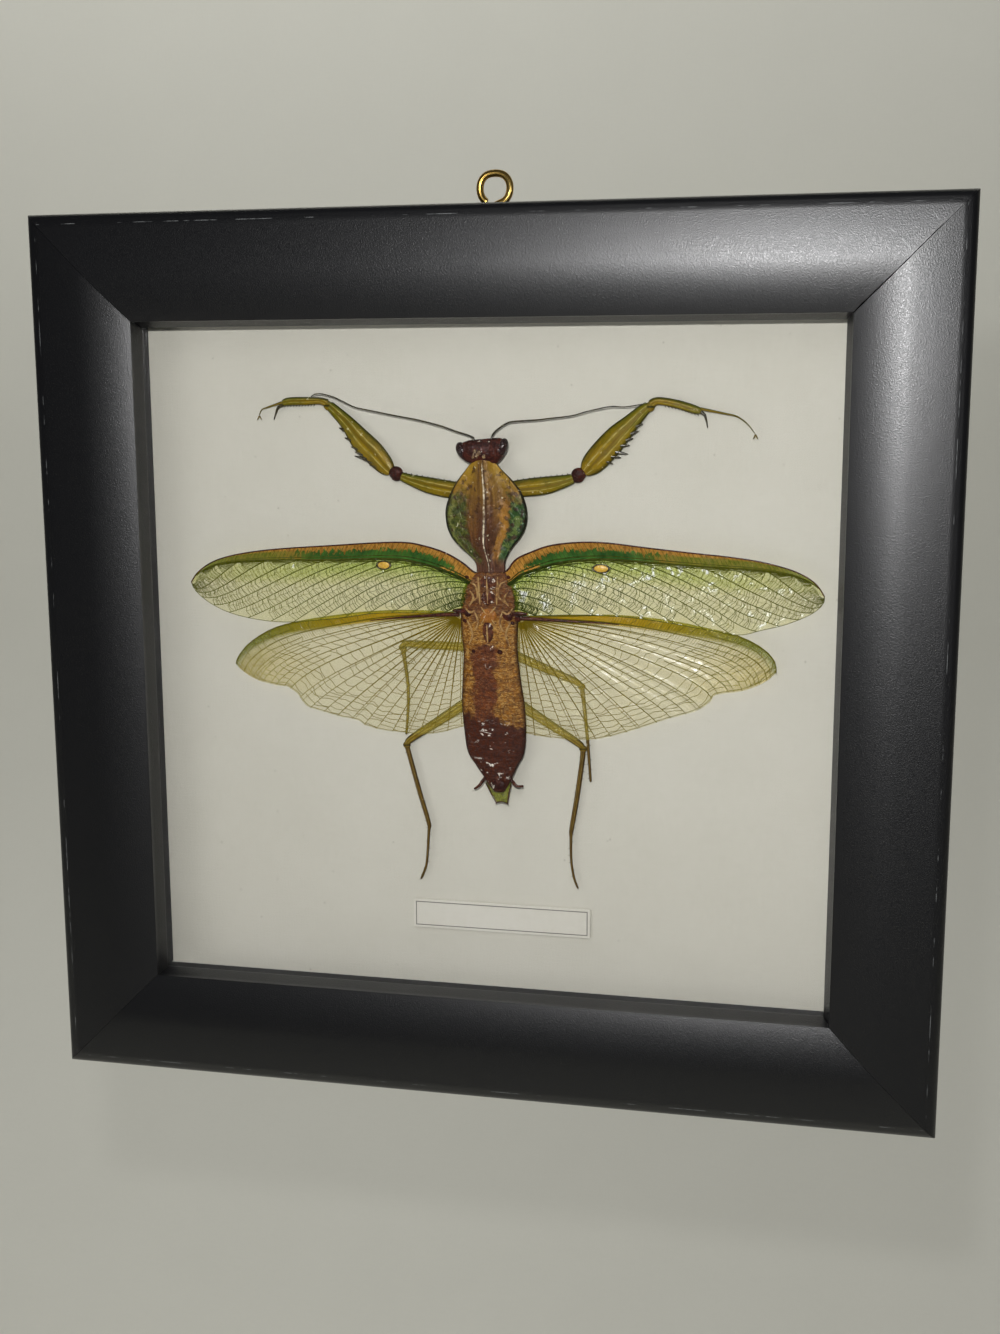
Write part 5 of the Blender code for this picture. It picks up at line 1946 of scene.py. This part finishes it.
        def plate(u: float, v: float) -> Point:
            """Return a place on the end plate.

            Args:
                u: The share down the plate.
                v: The share across it.

            Returns:
                The place.
            """
            left = along(END_PLATE_LEFT, u)
            right = along(END_PLATE_RIGHT, u)
            x, z = (a + (b - a) * v for a, b in zip(left, right))
            notch = 0.35 * u ** 6 * math.sin(math.pi * v)
            return x, self.body_y + 0.05 - 0.35 * math.sin(math.pi * v) * (1 - 0.5 * u), z + notch

        finish_piece(mapped_grid(24, 24, plate, faces_front=True, thickness=0.3), "mantis_end_plate",
                     finishes["end_plate"], ["mantis_body"])
        cerci = [limb([(x, z, 0.85 - 0.14 * i, 0.7 - 0.12 * i) for i, (x, z) in enumerate(path)], self.body_y, 30, 0.06,
                      0.04, 14) for path in CERCI]
        hem = [(x, self.body_y - 0.12, z, 1.0) for x, z in END_PLATE_HEM]
        cerci.append(tubes([hem], 0.13, 2))
        cerci += [limb([(x, -27.9, 0.34, 0.3), (x + lean, -28.45, 0.1, 0.1)], self.body_y - 0.1, 8, 0.0, 0.1, 8)
                  for x, lean in ((2.85, -0.15), (5.1, 0.15))]
        finish_piece(join(cerci), "mantis_cerci", finishes["maroon_edge"], ["mantis_body"])

    def build(self, finishes: Finishes) -> None:
        """Build every part of the trunk and both antennae.

        Args:
            finishes: All finishes.
        """
        self.build_head(finishes)
        self.build_shield(finishes)
        self.build_body(finishes)
        for side, route in ((Side.LEFT, ANTENNA_LEFT), (Side.RIGHT, ANTENNA_RIGHT)):
            points = resample([(-1.6 if side is Side.LEFT else 2.0, 45.0), *route], 90)
            wire = [(x, -10.2, z, 1.0 - 0.4 * i / 89 + (0.5 if i < 3 else 0.0) + 0.06 * (i % 2))
                    for i, (x, z) in enumerate(points)]
            node = "antenna_" + side.value
            finish_piece(tubes([wire], 0.18, 2), node + "_thread", finishes["dark_thread"], [node])


# Studio

@dataclass(frozen=True)
class Lamp:
    """A round lamp that faces a target; shiny things mirror it only if it is mirrored."""

    name: str
    place: Point
    target: Point
    size: float
    power: float
    mirrored: bool = False

    def build(self) -> None:
        """Place the lamp."""
        data = bpy.data.lights.new(self.name, "AREA")
        data.shape, data.size, data.energy = "DISK", self.size, self.power
        made = bpy.data.objects.new(self.name, data)
        bpy.context.scene.collection.objects.link(made)
        made.location, made.visible_glossy = self.place, self.mirrored
        made.rotation_euler = (Vector(self.place) - Vector(self.target)).to_track_quat("Z", "Y").to_euler()


@dataclass
class Studio:
    """The camera, the lamps, the pale floor and the backdrop."""

    camera: Point = (0.06912, -0.31612, 0.05469)
    right: Point = (0.97788, 0.20914, -0.00284)
    up: Point = (-0.03326, 0.16887, 0.98507)
    back: Point = (0.2065, -0.9632, 0.17209)
    lens: float = 42.47
    sensor: float = 36.0
    near_and_far: tuple[float, float] = (0.01, 20.0)
    flash_offset: tuple[float, float] = (-0.012, 0.037)
    flash_size: float = 0.012
    flash_power: float = 0.62
    soft_lamps: tuple[Lamp, ...] = (
        Lamp("top_lamp", (-0.3, -1.4, 1.2), (0.0, 0.0, 0.0), 1.2, 4.4),
        Lamp("side_lamp", (-1.3, -1.3, -0.45), (0.0, 0.0, 0.0), 1.0, 6.4),
        Lamp("backdrop_lamp", (-0.3, 0.12, 1.1), (0.0, 0.7, 0.0), 0.9, 10.5))
    sky: tuple[float, ...] = (0.92, 0.94, 1.0, 1.0)
    sky_strength: float = 0.05
    floor_width: float = 5000.0
    floor_front: float = -800.0
    floor_back: float = 300.0
    floor_z: float = -500.0
    bend_radius: float = 400.0
    wall_height: float = 3000.0

    def build_camera(self) -> None:
        """Place the camera."""
        data = bpy.data.cameras.new("view")
        data.lens, data.sensor_width = self.lens, self.sensor
        data.clip_start, data.clip_end = self.near_and_far
        made = bpy.data.objects.new("view", data)
        bpy.context.scene.collection.objects.link(made)
        turn = Matrix((self.right, self.up, self.back)).transposed().to_4x4()
        made.matrix_world = Matrix.Translation(self.camera) @ turn
        bpy.context.scene.camera = made

    def build(self, finishes: Finishes) -> None:
        """Set up the studio.

        Args:
            finishes: All finishes.
        """
        self.build_camera()
        centre, right, up = Vector(self.camera), Vector(self.right), Vector(self.up)
        flash = centre + right * self.flash_offset[0] + up * self.flash_offset[1]
        Lamp("near_lamp", tuple(flash), (0.0, 0.0, 0.0), self.flash_size, self.flash_power, mirrored=True).build()
        for lamp in self.soft_lamps:
            lamp.build()
        world = bpy.data.worlds.new("studio")
        bpy.context.scene.world = world
        world.use_nodes = True
        for socket, value in zip(world.node_tree.nodes["Background"].inputs, (self.sky, self.sky_strength)):
            socket.default_value = value
        bpy.context.scene.view_settings.view_transform = "Standard"

        def sweep(u: float, v: float) -> Point:
            """Return a place on the floor, the bend or the wall.

            Args:
                u: The share across it.
                v: The share from the front up the wall.

            Returns:
                The place.
            """
            x = (u - 0.5) * self.floor_width
            bend = math.pi / 2 * min(1.0, max(0.0, (v - 0.45) / 0.1))
            if v < 0.45:
                return x, self.floor_front + v / 0.45 * (self.floor_back - self.floor_front), self.floor_z
            y = self.floor_back + self.bend_radius * math.sin(bend)
            z = self.floor_z + self.bend_radius * (1 - math.cos(bend))
            return x, y, z + max(0.0, (v - 0.55) / 0.45) * self.wall_height

        cove = mapped_grid(4, 60, sweep)
        cove.name = "pale_floor"
        dress(cove, finishes["backdrop"])


# Papers, as name, roughness, relief, light, dark and speck tone, and scale
PAPERS: dict[str, tuple] = {
    "card": ("warm_card", 0.85, 0.00002, (216, 213, 200), (208, 205, 191), (150, 144, 128), 900.0),
    "board": ("grey_board", 0.9, 0.00003, (150, 136, 112), (120, 106, 86), (0, 0, 0), 900.0),
    "kraft": ("kraft_paper", 0.85, 0.00004, (170, 132, 92), (142, 106, 70), (96, 68, 44), 500.0),
    "spacer": ("black_spacer_card", 0.8, 0.00002, (24, 24, 25), (14, 14, 15), (0, 0, 0), 900.0),
    "slip": ("bare_slip_paper", 0.85, 0.00001, (226, 223, 212), (214, 210, 196), (160, 150, 130), 900.0),
    "backdrop": ("pale_backdrop", 0.9, 0.00001, (212, 211, 200), (209, 208, 197), (208, 207, 196), 400.0),
}

# Shells, as name, roughness, specular, relief, light, dark and deep tone, scale, blotches and the amount of painted
# glint highlights
SHELLS: dict[str, tuple] = {
    "face": ("face_chitin", 0.3, 0.5, 0.0001, (172, 150, 104), (128, 96, 62), (80, 52, 38), 900.0, 0.5, 0.4),
    "dark_head": ("dark_head_chitin", 0.2, 0.15, 0.0001, (84, 36, 22), (48, 20, 14), (30, 12, 10), 900.0, 0.5, 0.12),
    "eye": ("eye_chitin", 0.22, 0.3, 0.00003, (50, 24, 22), (34, 16, 16), (22, 12, 12), 1500.0, 0.5, 0.0),
    "cream": ("cream_sclerite", 0.2, 0.2, 0.0001, (186, 156, 100), (160, 120, 70), (110, 70, 44), 900.0, 0.4, 0.0),
    "plate": ("brown_plate_chitin", 0.2, 0.2, 0.00012, (112, 62, 34), (70, 34, 22), (46, 20, 14), 900.0, 0.5, 0.4),
    "gold": ("golden_scutellum", 0.24, 0.2, 0.0001, (170, 110, 40), (130, 76, 26), (84, 44, 18), 900.0, 0.35, 0.25),
    "end_plate": ("end_plate_chitin", 0.35, 0.5, 0.0001, (138, 140, 44), (92, 98, 30), (56, 60, 20), 900.0, 0.35, 0.0),
    "maroon_edge": ("maroon_edge_vein", 0.25, 0.35, 0.00005, (92, 48, 28), (60, 28, 20), (40, 18, 14), 900.0, 0.5, 0.0),
    "yellow_spot": ("yellow_spot", 0.35, 0.5, 0.00005, (226, 186, 74), (206, 160, 56), (180, 130, 44), 900.0, 0.3, 0.0),
    "dark_thread": ("dark_thread", 0.35, 0.5, 0.00003, (66, 58, 26), (44, 38, 18), (30, 26, 14), 900.0, 0.5, 0.0),
}

# Legs, as name, relief, light, dark and edge tone, and how green the far end is
LEG_SHELLS: dict[str, tuple] = {
    "foreleg": ("foreleg_chitin", 0.00007, (152, 124, 16), (104, 82, 4), (58, 62, 4), 0.55),
    "walking_leg": ("walking_leg_chitin", 0.00006, (150, 124, 30), (100, 78, 14), (62, 50, 10), 0.0),
    "walking_leg_dark": ("walking_shin_chitin", 0.00005, (112, 84, 22), (74, 52, 14), (44, 30, 10), 0.0),
}
EYE_COAT = 0.2


def make_finishes() -> Finishes:
    """Make every finish once.

    Returns:
        The finishes by their keys.
    """
    effects = Effects()
    made = {
        "lacquer": BlackLacquer("black_lacquer_finish", specular=1.0, relief=0.000016),
        "glass": Finish("clear_glass_finish", roughness=0.0, transmission=1.0, base=(1, 1, 1, 1)),
        "brass": Brass("drawn_brass", metallic=1.0, relief=0.00003),
        "shield": ShieldChitin("shield_chitin", specular=0.15, relief=0.0001),
        "body": BodyChitin("body_chitin", specular=0.12, relief=0.00016),
        "forewing_left": ForewingMembrane("left_forewing_membrane", specular=0.2, relief=0.00004),
        "forewing_right": ForewingMembrane("right_forewing_membrane", specular=0.2, relief=0.00004, painted_sparkle=0.42,
                                           patch=(0.1, 0.5)),
        "hindwing": HindwingMembrane("hindwing_membrane", relief=0.00015),
        "green_vein": WingVein("green_vein", specular=0.12, relief=0.00005, near=tone(38, 52, 2),
                               far=tone(80, 82, 14)),
        "olive_vein": WingVein("olive_vein", specular=0.12, relief=0.00005, near=tone(112, 94, 2),
                               far=tone(98, 94, 14)),
    }
    for key, (name, roughness, relief, light, dark, speck, scale) in PAPERS.items():
        kind = BorderedSlip if key == "slip" else Paper
        made[key] = kind(name, roughness, relief=relief, light=tone(*light), dark=tone(*dark), speck=tone(*speck),
                         scale=scale)
    for key, (name, roughness, specular, relief, light, dark, deep, scale, amount, glint_paint_amount) in SHELLS.items():
        made[key] = Chitin(name, roughness, specular=specular, coat=EYE_COAT if key == "eye" else 0.0, relief=relief,
                           light=tone(*light), dark=tone(*dark), deep=tone(*deep), scale=scale, amount=amount, glint_paint_amount=glint_paint_amount)
    for key, (name, relief, light, dark, edge, green) in LEG_SHELLS.items():
        made[key] = LegChitin(name, specular=0.12, relief=relief, light=tone(*light), dark=tone(*dark),
                              edge=tone(*edge), green=green)
    return {name: finish.build(effects) for name, finish in made.items()}


def let_lamps_through(glass: bpy.types.Material) -> None:
    """Let lamp light pass the pane, so that the card behind it is lit as it would be.

    Args:
        glass: The finish of the pane.
    """
    desk = Desk(glass.node_tree)
    shader, output = glass.node_tree.nodes["Principled BSDF"], glass.node_tree.nodes["Material Output"]
    shader.inputs["Coat Weight"].default_value = 0.0
    paths = desk.add("ShaderNodeLightPath")
    either = desk.math("MAXIMUM", paths.outputs["Is Shadow Ray"], paths.outputs["Is Diffuse Ray"])
    clear = desk.add("ShaderNodeBsdfTransparent")
    mixed = desk.add("ShaderNodeMixShader")
    desk.put(mixed.inputs[0], either)
    glass.node_tree.links.new(shader.outputs[0], mixed.inputs[1])
    glass.node_tree.links.new(clear.outputs[0], mixed.inputs[2])
    glass.node_tree.links.new(mixed.outputs[0], output.inputs["Surface"])


def main() -> None:
    """Build the specimen in its frame."""
    logging.basicConfig(level=logging.INFO, format="%(message)s")
    finishes = make_finishes()
    let_lamps_through(finishes["glass"])
    Studio().build(finishes)
    BoxFrame().build(finishes)
    ScrewEye().build(finishes["brass"])
    Trunk().build(finishes)
    Forewing(Side.LEFT, FOREWING_LEFT_LEAD, FOREWING_LEFT_REAR).build(finishes)
    Forewing(Side.RIGHT, FOREWING_RIGHT_LEAD, FOREWING_RIGHT_REAR).build(finishes)
    Hindwing(Side.LEFT, HINDWING_LEFT_HINGE, HINDWING_LEFT_LEAD, HINDWING_LEFT_REAR).build(finishes)
    Hindwing(Side.RIGHT, HINDWING_RIGHT_HINGE, HINDWING_RIGHT_LEAD, HINDWING_RIGHT_REAR).build(finishes)
    Foreleg(Side.LEFT, FORELEG_LEFT, FORELEG_TARSUS_LEFT, FORELEG_CLAW_LEFT, FORELEG_SPINES_LEFT).build(finishes)
    Foreleg(Side.RIGHT, FORELEG_RIGHT, FORELEG_TARSUS_RIGHT, FORELEG_CLAW_RIGHT, FORELEG_SPINES_RIGHT).build(finishes)
    for name, stations in (("midleg_left", MIDLEG_LEFT), ("midleg_right", MIDLEG_RIGHT),
                           ("hindleg_left", HINDLEG_LEFT), ("hindleg_right", HINDLEG_RIGHT)):
        WalkingLeg(name, stations).build(finishes)


if __name__ == "__main__":
    main()
